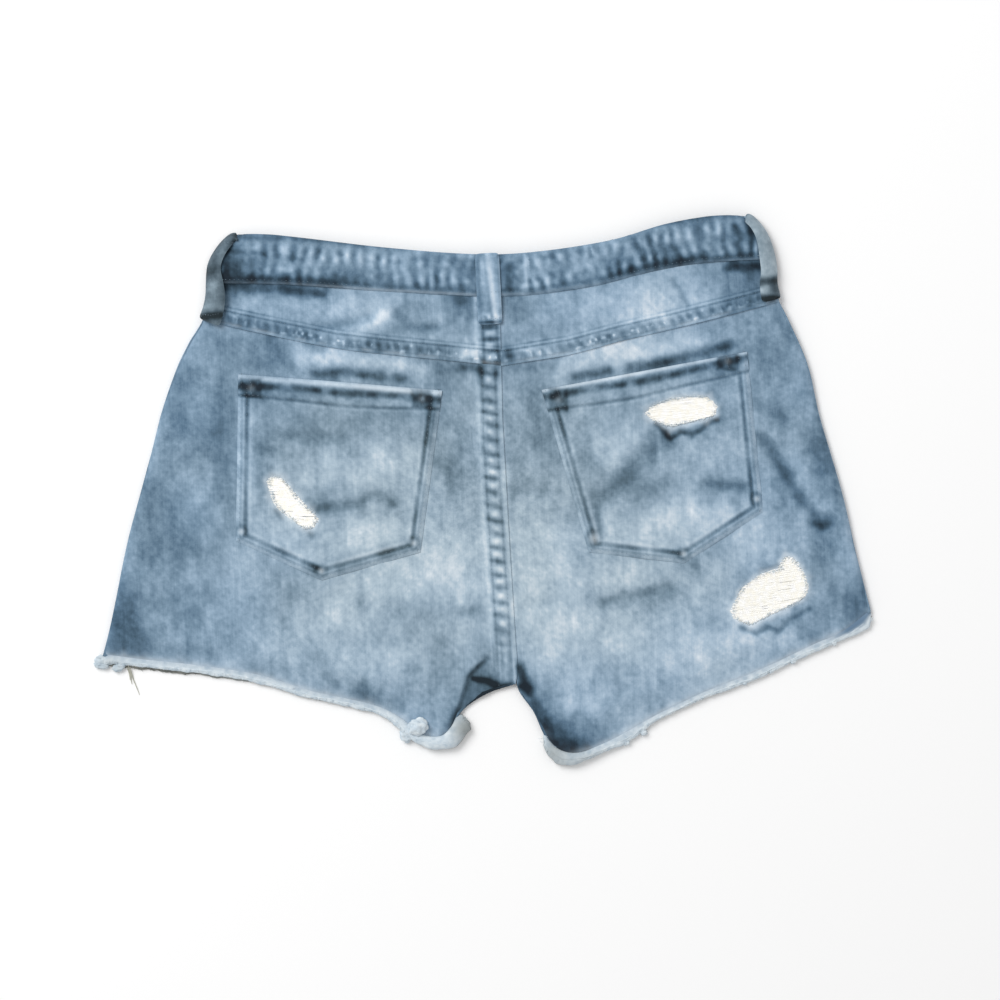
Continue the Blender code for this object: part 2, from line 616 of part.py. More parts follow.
def front_panel(name, sections, side, hem):
    """One leg's front; returns the line of its hem."""
    stations = panel_stations(sections, side, FRONT_CELLS, FRONT_BAND_LOW, hem_curve(hem), False)
    stations[0] = moved(stations[0], -BAND_TRIM)
    outer, inner = wall_grids(stations, front_face, -1)
    new_object(name, sheet_mesh(name, outer, inner), DENIM_MID, CLOTH_ROUGHNESS)
    return raw_edge(outer)


def yoke(name, panel_top, side, low, lap):
    """Yoke from the waistband down to its felled seam, which stands above the cloth."""
    _, side_y = BAND_LOW[0] if lap else BAND_LOW[-1]
    marks = [(x, value_at(BAND_LOW, x)) for x, _ in panel_top.marks]
    centre_y = value_at(BAND_LOW, value_at(CENTRE_SEAM, side_y))
    band_seam = Section("band seam", None, centre_y, marks, side_y, 1, 0)
    ends = (band_seam, panel_top._replace(cells=0))
    upper, lower = panel_stations(ends, side, BACK_CELLS, BAND_LOW, low, lap)
    upper = moved(upper, -BAND_TRIM)
    lower = moved(lower, SEAM_GAP / 2)

    def between(height, raised):
        """Row at a height above the yoke's lower edge; a height up to 1 is a share."""
        row = []
        for high, foot in zip(upper, lower):
            share = height if height <= 1 else height / (high.point - foot.point).length
            rise = foot.rise + (high.rise - foot.rise) * share
            row.append(Station(
                foot.point.lerp(high.point, share), foot.lean.lerp(high.lean, share), rise,
                max(foot.raised, raised * rise)))
        return row

    stations = [
        upper, between(YOKE_MIDDLE, 0.0), between(YOKE_FELL + FELL_STEP, 0.0),
        between(YOKE_FELL, FELL_RAISE), between(0, FELL_RAISE)]
    outer, inner = wall_grids(stations, back_face, 1)
    return new_object(name, sheet_mesh(name, outer, inner), DENIM_LIGHT, CLOTH_ROUGHNESS)


def band_end(table, upper, lower, inward):
    """Lines that run into a waistband from one end, row by row; without a table the end is cut."""
    if table:
        across = [(share, x) for share, x, _ in table]
        along = [(share, y) for share, _, y in table]
        edge = [Vector((value_at(across, share), value_at(along, share))) for share in BAND_ROWS]
    else:
        edge = [upper[0].lerp(lower[0], share) for share in BAND_ROWS]
    reach = BAND_CURL * 2
    lines = [
        [point, point + normal * reach] for point, normal in zip(edge, inward_normals(edge, inward))]
    return [upper, *lines[1:-1], lower]


def band(name, edges, columns, face, above, wall, colour):
    """Waistband piece between its top and lower edge; an end of None is cut at the fly."""
    top, low, *end_tables = edges
    upper, lower = curve_points(top, columns), curve_points(low, columns)
    middle = upper[columns // 2]
    ends = [
        band_end(end_tables[0], upper, lower, middle),
        band_end(end_tables[1], upper[::-1], lower[::-1], middle)]
    stations = []
    for index, share in enumerate(BAND_ROWS):
        row = [flat(a.lerp(b, share)) for a, b in zip(upper[1:-1], lower[1:-1])]
        for at_right, table in enumerate(end_tables):
            line = ends[at_right][index]
            if table:
                part = [
                    turned(*walk(line, BAND_CURL * turn_share(angle)), 1, angle)
                    for angle in CURL_ANGLES]
            else:
                part = [flat(walk(line, SEAM_GAP / 2)[0])]
            row = row + part[::-1] if at_right else part + row
        stations.append(row)
    outer, inner = wall_grids(stations, face, above, wall)
    for row in (outer[0], outer[-1]):
        for point, station in zip(row, stations[0]):
            point.z -= above * BAND_EDGE * station.rise
    return new_object(name, sheet_mesh(name, outer, inner), colour, CLOTH_ROUGHNESS)


def button(cloth):
    """Jeans button whose shank goes through a round buttonhole in the waistband."""
    centre = (BUTTON_X, BUTTON_Y)
    profile = (
        (0, 0), (BUTTON_RADIUS - BUTTON_RIM, 0), (BUTTON_RADIUS, BUTTON_RIM),
        (BUTTON_RADIUS, BUTTON_HEAD), (BUTTON_SHANK, BUTTON_HEAD), (BUTTON_SHANK, BUTTON_TOP),
        (0, BUTTON_TOP))
    mesh = turned_mesh("button", centre, profile, BUTTON_SIDES)
    new_object("button", mesh, AGED_BRASS, METAL_ROUGHNESS, 1.0)
    hole = (
        (0, -CUTTER_HEIGHT), (BUTTON_HOLE, -CUTTER_HEIGHT), (BUTTON_HOLE, CUTTER_HEIGHT),
        (0, CUTTER_HEIGHT))
    cut_with(cloth, turned_mesh("buttonhole_cutter", centre, hole, BUTTON_SIDES))


def zip_tapes():
    """Zip on the inside of the fly, with its closed chain as a low ridge along the tapes."""
    slope = ZIP_CHAIN + ZIP_CHAIN_SLOPE
    columns = (-ZIP_TAPE, -slope, -ZIP_CHAIN, ZIP_CHAIN, slope, ZIP_TAPE)
    outer, inner = [], []
    for row in range(ZIP_ROWS + 1):
        y = ZIP_TOP + (ZIP_BOTTOM - ZIP_TOP) * row / ZIP_ROWS
        low = front_face(FLY_X, y) + WALL + ZIP_CLEAR
        inner.append([Vector((FLY_X + x, y, low)) for x in columns])
        outer.append([point + Vector((0, 0, ZIP_TAPE_WALL)) for point in inner[-1]])
        for point in outer[-1][2:4]:
            point.z += ZIP_CHAIN_RAISE
    new_object("zip", sheet_mesh("zip", outer, inner), ZIP_TAPE_BLUE, CLOTH_ROUGHNESS)


def zip_slider():
    """Slider at the top of the closed zip."""
    mesh = bpy.data.meshes.new("zip_slider")
    block = bmesh.new()
    bmesh.ops.create_cube(block, size=MM)
    bmesh.ops.scale(block, vec=SLIDER_SIZE, verts=block.verts)
    block.to_mesh(mesh)
    block.free()
    slider = new_object("zip_slider", mesh, AGED_BRASS, METAL_ROUGHNESS, 1.0)
    _, length, height = SLIDER_SIZE
    y = ZIP_TOP + SEAM_GAP + length / 2
    z = front_face(FLY_X, y + length) + WALL + SEAM_GAP + height / 2
    slider.location = Vector((FLY_X, y, z)) * MM
    bevel = slider.modifiers.new("bevel", "BEVEL")
    bevel.width = SLIDER_BEVEL * MM
    bevel.segments = 1


def cut_table(table, before=None, after=None):
    """Rows of a table of x, y up to, or from, one x, with a point on the curve there."""
    if before is not None:
        return (*[row for row in table if row[0] < before - 1], (before, value_at(table, before)))
    return ((after, value_at(table, after)), *[row for row in table if row[0] > after + 1])


def side_loop(name, table):
    """Belt loop that wraps around the side of the waistband."""
    line = [Vector((row.x, row.y)) for row in table]
    normals = inward_normals(line, Vector((FLY_X, table[-1].y)))
    outer, inner = [], []
    for row, edge, normal in zip(table, line, normals):
        outer.append([])
        inner.append([])
        for angle in LOOP_ANGLES:
            radians = math.radians(angle)
            point = edge + normal * row.width * (1 - math.cos(radians))
            z = LOOP_LOW + (row.top - LOOP_LOW) * math.sin(radians)
            under = point + normal * LOOP_WALL * math.cos(radians)
            outer[-1].append(Vector((*point, z)))
            inner[-1].append(Vector((*under, z - LOOP_WALL * math.sin(radians))))
    return new_object(name, sheet_mesh(name, outer, inner), DENIM_LIGHT, CLOTH_ROUGHNESS)


def straight_loop(name, rows, left, right, wall):
    """Belt loop as a strip along Y; rows are y and the height of the top face."""
    columns = (left, (left + right) / 2, right)
    outer = [[Vector((x, y, top)) for x in columns] for y, top in rows]
    inner = [[Vector((x, y, top - wall)) for x in columns] for y, top in rows]
    return new_object(name, sheet_mesh(name, outer, inner), DENIM_LIGHT, CLOTH_ROUGHNESS)


def front_loop(name, x):
    """Belt loop on the front, which lies flat under the front waistband."""
    top = value_at(FRONT_BAND_TOP, x)
    low = value_at(FRONT_BAND_LOW, x) - LOOP_FRONT_BELOW
    rows = [(top + (low - top) * step / LOOP_FRONT_ROWS, LOOP_WALL) for step in range(LOOP_FRONT_ROWS + 1)]
    straight_loop(name, rows, x - LOOP_FRONT_WIDTH / 2, x + LOOP_FRONT_WIDTH / 2, LOOP_WALL)


def turned_mesh(name, centre, profile, sides):
    """Solid turned around Z from a profile of radius and height that starts and ends on the axis."""
    points = [(*centre, profile[0][1]), (*centre, profile[-1][1])]
    faces = []
    rings = profile[1:-1]
    for radius, z in rings:
        for side in range(sides):
            angle = 2 * math.pi * side / sides
            points.append((centre[0] + radius * math.cos(angle), centre[1] + radius * math.sin(angle), z))
    for side in range(sides):
        following = (side + 1) % sides
        faces.append((0, 2 + following, 2 + side))
        for ring in range(len(rings) - 1):
            low, high = 2 + ring * sides, 2 + (ring + 1) * sides
            faces.append((low + side, low + following, high + following, high + side))
        last = 2 + (len(rings) - 1) * sides
        faces.append((1, last + side, last + following))
    return closed_mesh(name, points, faces)


def nearest_on(line, point):
    """Point of a broken line that lies nearest to a point."""
    best = None
    for here, there in zip(line, line[1:]):
        run = there - here
        share = min(max((point - here).dot(run) / run.length_squared, 0.0), 1.0)
        place = here + run * share
        if best is None or (place - point).length < (best - point).length:
            best = place
    return best


def fray(name, table, hem_line, locks, low_at, high_at, roll_rise):
    """Frayed hem: a narrow strip beside the cloth's edge with tapered locks along it."""
    lengths = [0.0]
    for here, there in zip(table, table[1:]):
        lengths.append(lengths[-1] + math.dist((here.x, here.y), (there.x, there.y)))

    def at(place, column):
        return value_at([(length, row[column]) for length, row in zip(lengths, table)], place)

    places = [
        lengths[-1] * (lock + share) / locks
        for lock in range(locks) for share in (0.0, FRAY_LOCK_SHARE)]
    places.append(lengths[-1])
    points, tips = [], []
    for index, place in enumerate(places):
        cloth = Vector((at(place, 0), at(place, 1)))
        outline = Vector((at(place, 2), at(place, 3)))
        outward = (outline - cloth).normalized()
        rise = max(at(place, 4), 0.0) * roll_rise
        root = nearest_on(hem_line, cloth) + outward * FRAY_GAP
        rim = root.lerp(outline, FRAY_ROOT)
        low, high = low_at(*cloth), high_at(*cloth)
        bulge = FRAY_BULGE + rise if roll_rise else 0.0
        middle = (low + high) / 2
        points += [
            (*root, low), (*root, high), (*((root + rim) / 2), high + bulge),
            (*rim, (high + middle + bulge) / 2), (*rim, (low + middle) / 2)]
        tip = outline + outward * FRAY_LOCK_REACH * math.sin(index * FRAY_LOCK_TURN)
        tips.append((*tip, middle + rise * FRAY_LOCK_LIFT))
    ring = len(points) // len(places)
    rim_side = ring - 2
    faces = [tuple(range(ring)), tuple(range(len(points) - 1, len(points) - 1 - ring, -1))]
    for index in range(len(places) - 1):
        here, there = index * ring, (index + 1) * ring
        has_lock = index % 2 == 0
        for side in range(ring):
            following = (side + 1) % ring
            corners = (here + side, here + following, there + following, there + side)
            if side == rim_side and has_lock:
                faces += [
                    (start, end, len(points)) for start, end in zip(corners, corners[1:] + corners[:1])]
                points.append(tips[index])
            else:
                faces.append(corners)
    return new_object(name, closed_mesh(name, points, faces), FRAY_WHITE, CLOTH_ROUGHNESS)


def crossings(outline, y):
    """Left and right x where a horizontal line meets a closed outline."""
    found = []
    for here, there in zip(outline, outline[1:] + outline[:1]):
        if (here[1] - y) * (there[1] - y) < 0:
            share = (y - here[1]) / (there[1] - here[1])
            found.append(here[0] + (there[0] - here[0]) * share)
    return (min(found), max(found)) if found else (0.0, 0.0)


def cut_rip(cloth, outline):
    """Cut a rip right through one piece."""
    low = [(x, y, -CUTTER_HEIGHT) for x, y in outline]
    high = [(x, y, CUTTER_HEIGHT) for x, y in outline]
    count = len(outline)
    faces = [tuple(range(count)), tuple(range(2 * count - 1, count - 1, -1))]
    for corner in range(count):
        following = (corner + 1) % count
        faces.append((corner, following, following + count, corner + count))
    cut_with(cloth, closed_mesh(cloth.name + "_rip_cutter", low + high, faces))


def cut_with(cloth, mesh):
    """Cut a closed mesh out of a piece."""
    cutter = bpy.data.objects.new(mesh.name, mesh)
    bpy.context.scene.collection.objects.link(cutter)
    cutter.hide_render = True
    cutter.display_type = "WIRE"
    boolean = cloth.modifiers.new("cut", "BOOLEAN")
    boolean.operation = "DIFFERENCE"
    boolean.solver = "EXACT"
    boolean.object = cutter


def rip_threads(name, outline, face_rise):
    """Weft threads that bridge a rip, held together by the threads along its two ends."""
    low_y = min(point[1] for point in outline)
    high_y = max(point[1] for point in outline)
    levels = []
    y = low_y + THREAD
    while y + THREAD < high_y:
        for edge in (y, y + THREAD):
            left, right = crossings(outline, edge)
            if right - left < RIP_SPAN:
                break
        else:
            levels += [y, y + THREAD]
        y += THREAD_PITCH
    outer = []
    for level in levels:
        spans = [crossings(outline, level + step) for step in (-RIP_CLEAR, 0, RIP_CLEAR)]
        left = max(span[0] for span in spans) + RIP_CLEAR
        right = min(span[1] for span in spans) - RIP_CLEAR
        columns = (left, left + THREAD, right - THREAD, right)
        outer.append([
            Vector((x, level, back_face(x, level) + face_rise - THREAD_SINK)) for x in columns])
    inner = [[point - Vector((0, 0, THREAD_WALL)) for point in row] for row in outer]

    def is_open(row, column):
        return row % 2 == 1 and column == 1

    return new_object(name, sheet_mesh(name, outer, inner, is_open), THREAD_CREAM, CLOTH_ROUGHNESS)


def build():
    for existing in list(bpy.data.objects):
        bpy.data.objects.remove(existing)

    _, under_left, body_row, back_hem_left = back_panel(
        "back_left", BACK_LEFT, SIDE_LEFT, HEM_LEFT, True)
    back_right, under_right, _, back_hem_right = back_panel(
        "back_right", BACK_RIGHT, SIDE_RIGHT, HEM_RIGHT, False)
    pocket_left = patch_pocket("pocket_left", under_left, body_row)
    pocket_right = patch_pocket("pocket_right", under_right, body_row)
    front_hem_left = front_panel("front_left", FRONT_LEFT, SIDE_LEFT, HEM_LEFT)
    front_hem_right = front_panel("front_right", FRONT_RIGHT, SIDE_RIGHT, HEM_RIGHT)
    yoke("yoke_left", BACK_LEFT[0], SIDE_LEFT, YOKE_LOW_LEFT, True)
    yoke("yoke_right", BACK_RIGHT[0], SIDE_RIGHT, YOKE_LOW_RIGHT, False)

    band(
        "waistband_back", (BAND_TOP, BAND_LOW, BAND_END_LEFT, BAND_END_RIGHT), BAND_COLUMNS,
        lambda x, y: BAND_BACK_TOP, 1, BAND_WALL, DENIM_MID)
    edges = [cut_table(table, before=FLY_X) for table in (FRONT_BAND_TOP, FRONT_BAND_LOW)]
    band_left = band(
        "waistband_front_left", (*edges, BAND_END_LEFT, None), FRONT_BAND_COLUMNS,
        lambda x, y: BAND_FRONT_LOW, -1, BAND_FRONT_WALL, DENIM_MID)
    edges = [cut_table(table, after=FLY_X) for table in (FRONT_BAND_TOP, FRONT_BAND_LOW)]
    band(
        "waistband_front_right", (*edges, None, BAND_END_RIGHT), FRONT_BAND_COLUMNS,
        lambda x, y: BAND_FRONT_LOW, -1, BAND_FRONT_WALL, DENIM_MID)

    side_loop("belt_loop_side_left", LOOP_LEFT)
    side_loop("belt_loop_side_right", LOOP_RIGHT)
    straight_loop("belt_loop_centre", LOOP_CENTRE, *LOOP_CENTRE_X, LOOP_WALL)
    for side, x in zip(("left", "right"), LOOP_FRONT_X):
        front_loop("belt_loop_front_" + side, x)

    button(band_left)
    zip_tapes()
    zip_slider()

    settle = HOLLOW - HEM_HOLLOW
    hems = (
        ("left", HEM_LEFT, back_hem_left, front_hem_left),
        ("right", HEM_RIGHT, back_hem_right, front_hem_right))
    for side, table, back_hem, front_hem in hems:
        fray(
            "hem_fray_back_" + side, table, back_hem, BACK_LOCKS,
            lambda x, y: back_face(x, y) - settle - WALL, lambda x, y: back_face(x, y) - settle,
            FRAY_ROLL_RISE)
        fray(
            "hem_fray_front_" + side, table, front_hem, FRONT_LOCKS,
            lambda x, y: FRAY_FRONT_LOW, lambda x, y: WALL, 0.0)

    cut_rip(back_right, RIP_LEG)
    cut_rip(pocket_right, RIP_POCKET_RIGHT)
    cut_rip(pocket_left, RIP_POCKET_LEFT)
    rip_threads("rip_threads_leg", RIP_LEG, 0.0)
    rip_threads("rip_threads_pocket_right", RIP_POCKET_RIGHT, SEAM_GAP + WALL)
    rip_threads("rip_threads_pocket_left", RIP_POCKET_LEFT, SEAM_GAP + WALL)


build()
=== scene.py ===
import math

import bmesh
import bpy
import numpy as np
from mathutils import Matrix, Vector, noise
from mathutils.bvhtree import BVHTree
from mathutils.geometry import delaunay_2d_cdt
from mathutils.kdtree import KDTree


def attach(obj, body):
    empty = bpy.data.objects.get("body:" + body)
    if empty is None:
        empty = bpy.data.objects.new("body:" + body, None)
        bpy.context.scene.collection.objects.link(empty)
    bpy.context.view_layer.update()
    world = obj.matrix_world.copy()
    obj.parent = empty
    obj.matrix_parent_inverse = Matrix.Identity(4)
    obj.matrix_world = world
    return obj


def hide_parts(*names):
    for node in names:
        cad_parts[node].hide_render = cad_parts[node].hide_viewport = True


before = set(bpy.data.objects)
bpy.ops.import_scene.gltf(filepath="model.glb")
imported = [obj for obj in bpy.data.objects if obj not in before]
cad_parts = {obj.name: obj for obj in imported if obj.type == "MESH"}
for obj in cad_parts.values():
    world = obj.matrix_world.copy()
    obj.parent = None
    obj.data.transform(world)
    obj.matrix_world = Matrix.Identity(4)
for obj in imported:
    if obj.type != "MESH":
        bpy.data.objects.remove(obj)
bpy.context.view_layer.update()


# ---- Backs of the legs ----
# Two panels of washed cotton denim, right side up, felled together down the centre seat and
# joined to the fronts along the outseams and inseams. Each is one layer about 1.3 mm thick that
# lies on the front beneath it, worn pale over the seat, with painted shade in its creases, under
# the yoke's and pockets' edges and along the rolled inner edges of the legs.

MM = 0.001
BACK_GRID = 1.2                 # spacing of the mesh that carries the creases
LINING_GRID = 4.0               # spacing on the hidden side
DENIM_WALL = 1.2
EDGE_ROUND = 0.85               # how much lower a turned edge is than the cloth beside it
EDGE_REACH = 1.2
SEAM_CLOSE = 0.2                # how far each edge is let out, so that no light falls through a seam
SHARP_EDGE = math.radians(65)
CORNER = math.radians(38)       # sharper turns of an outline stay corners
SEAT_TONE = 0.60                # tones run from 0, black, over 0.5, mid blue, to 1, white

# Soft patches: x, y, half size across, half size down, tone. Most are the wash's own fades; the dark
# ones down the outer sides are partly painted shade where the cloth turns away, and the two at
# (-5, 93.5) and (38, 92.5) are painted shadow under the yokes' lower edges.
SEAT_FADES_AND_SHADE = (
    (-215, 90, 22, 34, -0.08), (-183, 60, 12, 44, -0.13), (-228, 0, 24, 46, -0.13),
    (-256, -78, 26, 30, -0.13), (-254, -97, 22, 10, -0.09), (-150, 104, 12, 12, -0.1),
    (-200, -62, 20, 20, -0.03), (-165, -50, 34, 26, 0.03), (-108, 106, 32, 9, 0.1), (-55, 100, 26, 8, 0.03),
    (-30, 66, 10, 30, -0.06), (-62, -48, 44, 26, 0.17), (-110, -78, 40, 16, 0.09), (-20, -44, 26, 36, 0.09),
    (-150, -102, 44, 18, 0.06), (-80, -110, 40, 22, 0.07), (-20, -96, 22, 26, 0.03), (0, 5, 12, 44, -0.03),
    (40, -40, 26, 44, 0.11), (60, -84, 30, 26, 0.1), (104, -60, 34, 12, 0.11), (100, -104, 36, 24, 0.12),
    (42, -116, 18, 26, 0.1), (64, -140, 16, 16, 0.1), (160, -118, 46, 24, 0.17), (205, -108, 26, 14, 0.09),
    (200, -44, 26, 18, 0.16), (244, -62, 10, 22, -0.05), (105, 106, 36, 9, 0.19), (168, 112, 18, 9, 0.02),
    (62, 96, 14, 12, -0.02), (40, 88, 12, 22, -0.04), (56, 30, 8, 40, -0.07), (218, 96, 18, 36, -0.05),
    (214, 36, 10, 20, 0.05), (254, 10, 12, 44, -0.13), (262, -40, 12, 16, 0.02), (270, -90, 14, 20, -0.15),
    (205, 6, 10, 30, 0.02), (34, 60, 12, 26, 0.02), (30, 14, 12, 26, -0.01), (90, -160, 26, 14, 0.06),
    (52, -168, 22, 16, -0.14), (-178, 120, 16, 12, -0.12), (-150, 103, 16, 7, -0.08),
    (-214, -10, 16, 16, -0.08), (-262, -78, 16, 24, -0.08), (-90, -138, 22, 10, -0.1),
    (120, -120, 20, 14, -0.07), (242, 42, 12, 26, -0.07), (6, -128, 9, 12, 0.06), (60, -154, 16, 10, 0.12),
    (240, -22, 12, 12, 0.08), (180, -82, 16, 10, 0.07), (30, -82, 14, 12, 0.06), (182, 92, 16, 14, -0.05),
    (240, 98, 12, 12, 0.09), (-182, 50, 14, 20, -0.07), (-30, 22, 10, 12, -0.08), (150, 104, 12, 7, 0.05),
    (-262, -66, 12, 22, -0.08), (-150, -80, 16, 12, -0.05), (-240, 2, 8, 12, -0.03),
    (-214, 22, 14, 14, 0.07), (209, 4, 9, 10, -0.06), (208, -22, 10, 9, 0.06), (236, 0, 9, 14, 0.05),
    (60, -42, 14, 12, 0.06), (176, -60, 12, 10, 0.06), (178, 113, 14, 7, -0.07), (268, -50, 8, 26, 0.05),
    (-5, 93.5, 13, 3.4, -0.14), (38, 92.5, 17, 3, -0.11), (-212, 80, 10, 12, -0.06),
    (-210, 40, 8, 9, -0.05), (-210, -20, 8, 9, -0.05), (-210, -100, 10, 7, -0.05), (150, -78, 12, 9, 0.05))

# Creases and lines: points, half width, lift in mm, shade out of 255. The shade is painted shade in
# the creases and under edges, painted highlight on the raised ridges, and elsewhere the wash's own.
SEAT_MARKS = (
    (((-144, 121), (-136, 112), (-128, 100)), 6.5, -0.7, -38), (((-117, 117), (-108, 112)), 3.6, -0.4, -30),
    # Painted shadow: the rows of shade -60 to -66 at y 84 to 101 lie along the tops of the pockets' mouths,
    # and the row from (-5, 95) to (6, 92) lies under the yoke's edge.
    (((-113, 95), (-90, 95), (-66, 91), (-50, 88)), 4, -0.8, -66),
    (((-123, 105), (-66, 102), (-37, 94)), 6.5, 0.5, 24), (((-34, 101), (-25, 98)), 2.9, -0.4, -26),
    (((-5, 95), (6, 92)), 3.6, -0.5, -42), (((74, 84), (99, 87)), 3.2, -0.7, -60),
    (((116, 88), (150, 93), (186, 101)), 4.2, -0.8, -66), (((64, 91), (122, 97), (165, 102)), 6.5, 0.5, 22),
    (((223, 120), (229, 104)), 4.3, -0.4, -26), (((206, 57), (223, 47)), 5.8, -0.6, -24),
    (((208, 32), (221, 10), (232, -9), (247, -32)), 5, -1, -50), (((247, -32), (255, -48)), 7.2, -0.6, -26),
    (((242, 22), (246, 9)), 5.8, -0.4, -22), (((29, 4), (47, 2)), 5.8, -0.5, -24),
    (((42, 65), (43, 42)), 6.5, -0.4, -18), (((88, -79), (111, -75), (134, -71)), 4.4, -0.8, -34),
    (((29, -81), (52, -75)), 5, -0.4, -12), (((150, -56), (160, -60)), 5, -0.3, -18),
    # Painted shadow under the leg's rip: the row from (185, -102) to (235, -91).
    (((185, -102), (196, -107), (206, -103), (212, -106), (219, -100), (235, -91)), 2.6, -0.5, -50),
    (((202, -62), (217, -59)), 2.5, -0.4, -45), (((180, -82), (189, -74)), 2.2, -0.3, -26),
    (((232, -105), (239, -114)), 6.5, -0.3, -20), (((264, -86), (271, -98)), 6.5, -0.3, -16),
    (((-90, -69), (-87, -70)), 5, -0.5, -30), (((-67, -75), (-61, -79)), 6.5, -0.4, -20),
    (((-139, -60), (-142, -86)), 5, -0.4, -20), (((-115, -123), (-107, -129)), 3.6, -0.3, -16),
    (((-90, -131), (-86, -141)), 6.2, -0.6, -24), (((-69, -144), (-62, -149)), 4.2, -0.3, -22),
    (((-15, -81), (-9, -82)), 4.3, -0.4, -26), (((-20, 22), (-18, 2)), 4.3, -0.4, -22),
    # Painted shade: the crease where the left leg folds over at the crotch, and the inner edges of both legs
    # where the cloth rolls down to the inseam.
    (((1, -117), (-5, -122), (-10, -128)), 2.4, -0.8, -52),
    (((31, -143), (38, -162), (41, -175), (51, -186)), 6, -0.5, -56),
    (((-23, -154), (-27, -163), (-31, -171)), 3.8, -0.5, -72),
    (((44, -170), (52, -182), (68, -187)), 8, -0.4, -50),
    (((42, -156), (52, -172), (74, -184)), 14, 0, -20))

# Raw edges: x and y of the cut, x and y of the fray's outer side, share of a full roll
HEMS = {
    "left": (
        (-275.2, -101, -280.5, -107.6, 0.1), (-246, -106, -247.5, -113.2, 0),
        (-205, -112.5, -206, -119.8, 0), (-164, -121, -165.5, -127.8, 0), (-127, -134, -129, -139.6, 0),
        (-91, -144, -92.5, -149.8, 0), (-77, -149, -79.5, -153.5, 0.2), (-62, -158, -68, -162.8, 0.6),
        (-52, -167.5, -57.5, -173.5, 0.8), (-42, -171.5, -41.8, -180.8, 1), (-33, -171, -27, -181, 1),
        (-26, -165, -13.5, -172.5, 1), (-22.3, -159, -10.6, -163.5, 0.8),
        (-20.5, -155, -15.5, -156.8, 0.4)),
    "right": (
        (39.5, -172, 38.2, -178.5, 0.4), (43, -178.5, 40, -187, 0.8), (48, -183.8, 46.2, -194.3, 1),
        (55, -187.3, 55, -198.3, 1), (63, -188.2, 66, -196, 0.8), (81, -183, 84.5, -188.2, 0.4),
        (99, -175, 102.5, -182.2, 0.1), (117, -165.5, 119.5, -169, 0), (136, -157, 138, -160.9, 0),
        (155, -149, 157, -153.3, 0), (193, -136, 195.5, -141.5, 0), (222, -124, 224, -129.3, 0),
        (241, -116.5, 243, -122.5, 0), (260, -109, 262, -114.8, 0), (271, -101.5, 277.8, -108.7, 0),
        (279.2, -95, 280.7, -101.5, 0.1))}

# Holes: the piece, the node of its bare threads, their slant in degrees, the outline
RIPS = {
    "leg": (
        "leg_back_right", "rip_threads_leg", 6,
        ((180.1, -89.4), (187.9, -74.5), (203.1, -64.1), (215.8, -60.6), (219.8, -52.7), (225.3, -55),
         (230.9, -64.9), (233.9, -75.7), (230, -83.1), (206.7, -93.6), (191.3, -100), (181.9, -95))),
    "pocket_right": (
        "patch_pocket_right", "rip_threads_pocket_right", 3,
        ((125.1, 55), (128.9, 59.4), (148.3, 65.5), (168.5, 64.1), (173.8, 57.8), (172, 51.3),
         (152.5, 47.2), (142.3, 45.2), (129, 50.8))),
    "pocket_left": (
        "patch_pocket_left", "rip_threads_pocket_left", -4,
        ((-149.5, 18.7), (-146.4, 21.9), (-141.5, 21.2), (-128.7, 4.5), (-116.9, -10.1), (-120.1, -15.4),
         (-124.2, -16), (-135.4, -7.2), (-144.5, 1.1), (-147.1, 7.4)))}

CENTRE_LINE = ((14, -140), (13.6, -90), (12.4, -35), (11.3, 41), (12.2, 83), (14.2, 150))
CENTRE_PITCH = 9.8
CENTRE_EDGE = tuple((x + 9.2, y) for x, y in CENTRE_LINE)       # where the two legs meet
YOKE_EDGES = {
    "left": ((-191.8, 136.8), (-151.9, 126.3), (-97.5, 112.7), (-61, 106.5), (-24.5, 101.1), (22, 94.3)),
    "right": (
        (20, 94), (44, 96.8), (72.4, 100.2), (110, 108.4), (148.5, 115.5), (186.6, 123.1), (223.5, 131))}


def add(tree, kind, inputs=None, out=0, **settings):
    """Adds a node with its own settings, fed from values or other sockets, and gives one output."""
    node = tree.nodes.new(kind)
    for name, value in settings.items():
        setattr(node, name, value)
    for name, value in (inputs or {}).items():
        if isinstance(value, bpy.types.NodeSocket):
            tree.links.new(value, node.inputs[name])
        else:
            node.inputs[name].default_value = value
    return node if out is None else node.outputs[out]


def colour(hex_code):
    """sRGB hex turned into the linear colour that shaders take."""
    parts = [int(hex_code[i:i + 2], 16) / 255 for i in (0, 2, 4)]
    return tuple(c / 12.92 if c <= 0.04045 else ((c + 0.055) / 1.055) ** 2.4 for c in parts) + (1.0,)


def finish_with(name, **sockets):
    """A new material with its plain sockets set, its node tree and its Object coordinates."""
    material = bpy.data.materials.new(name)
    material.use_nodes = True
    tree = material.node_tree
    for socket, value in sockets.items():
        tree.nodes["Principled BSDF"].inputs[socket.replace("_", " ")].default_value = value
    return material, tree, add(tree, "ShaderNodeTexCoord", out="Object")


def surfaced(material, base, height, strength, depth):
    """Gives a material its colour and its relief, whose depth is in mm."""
    tree = material.node_tree
    bump = add(tree, "ShaderNodeBump", {"Height": height, "Strength": strength, "Distance": depth * MM})
    tree.links.new(base, tree.nodes["Principled BSDF"].inputs["Base Color"])
    tree.links.new(bump, tree.nodes["Principled BSDF"].inputs["Normal"])
    return material


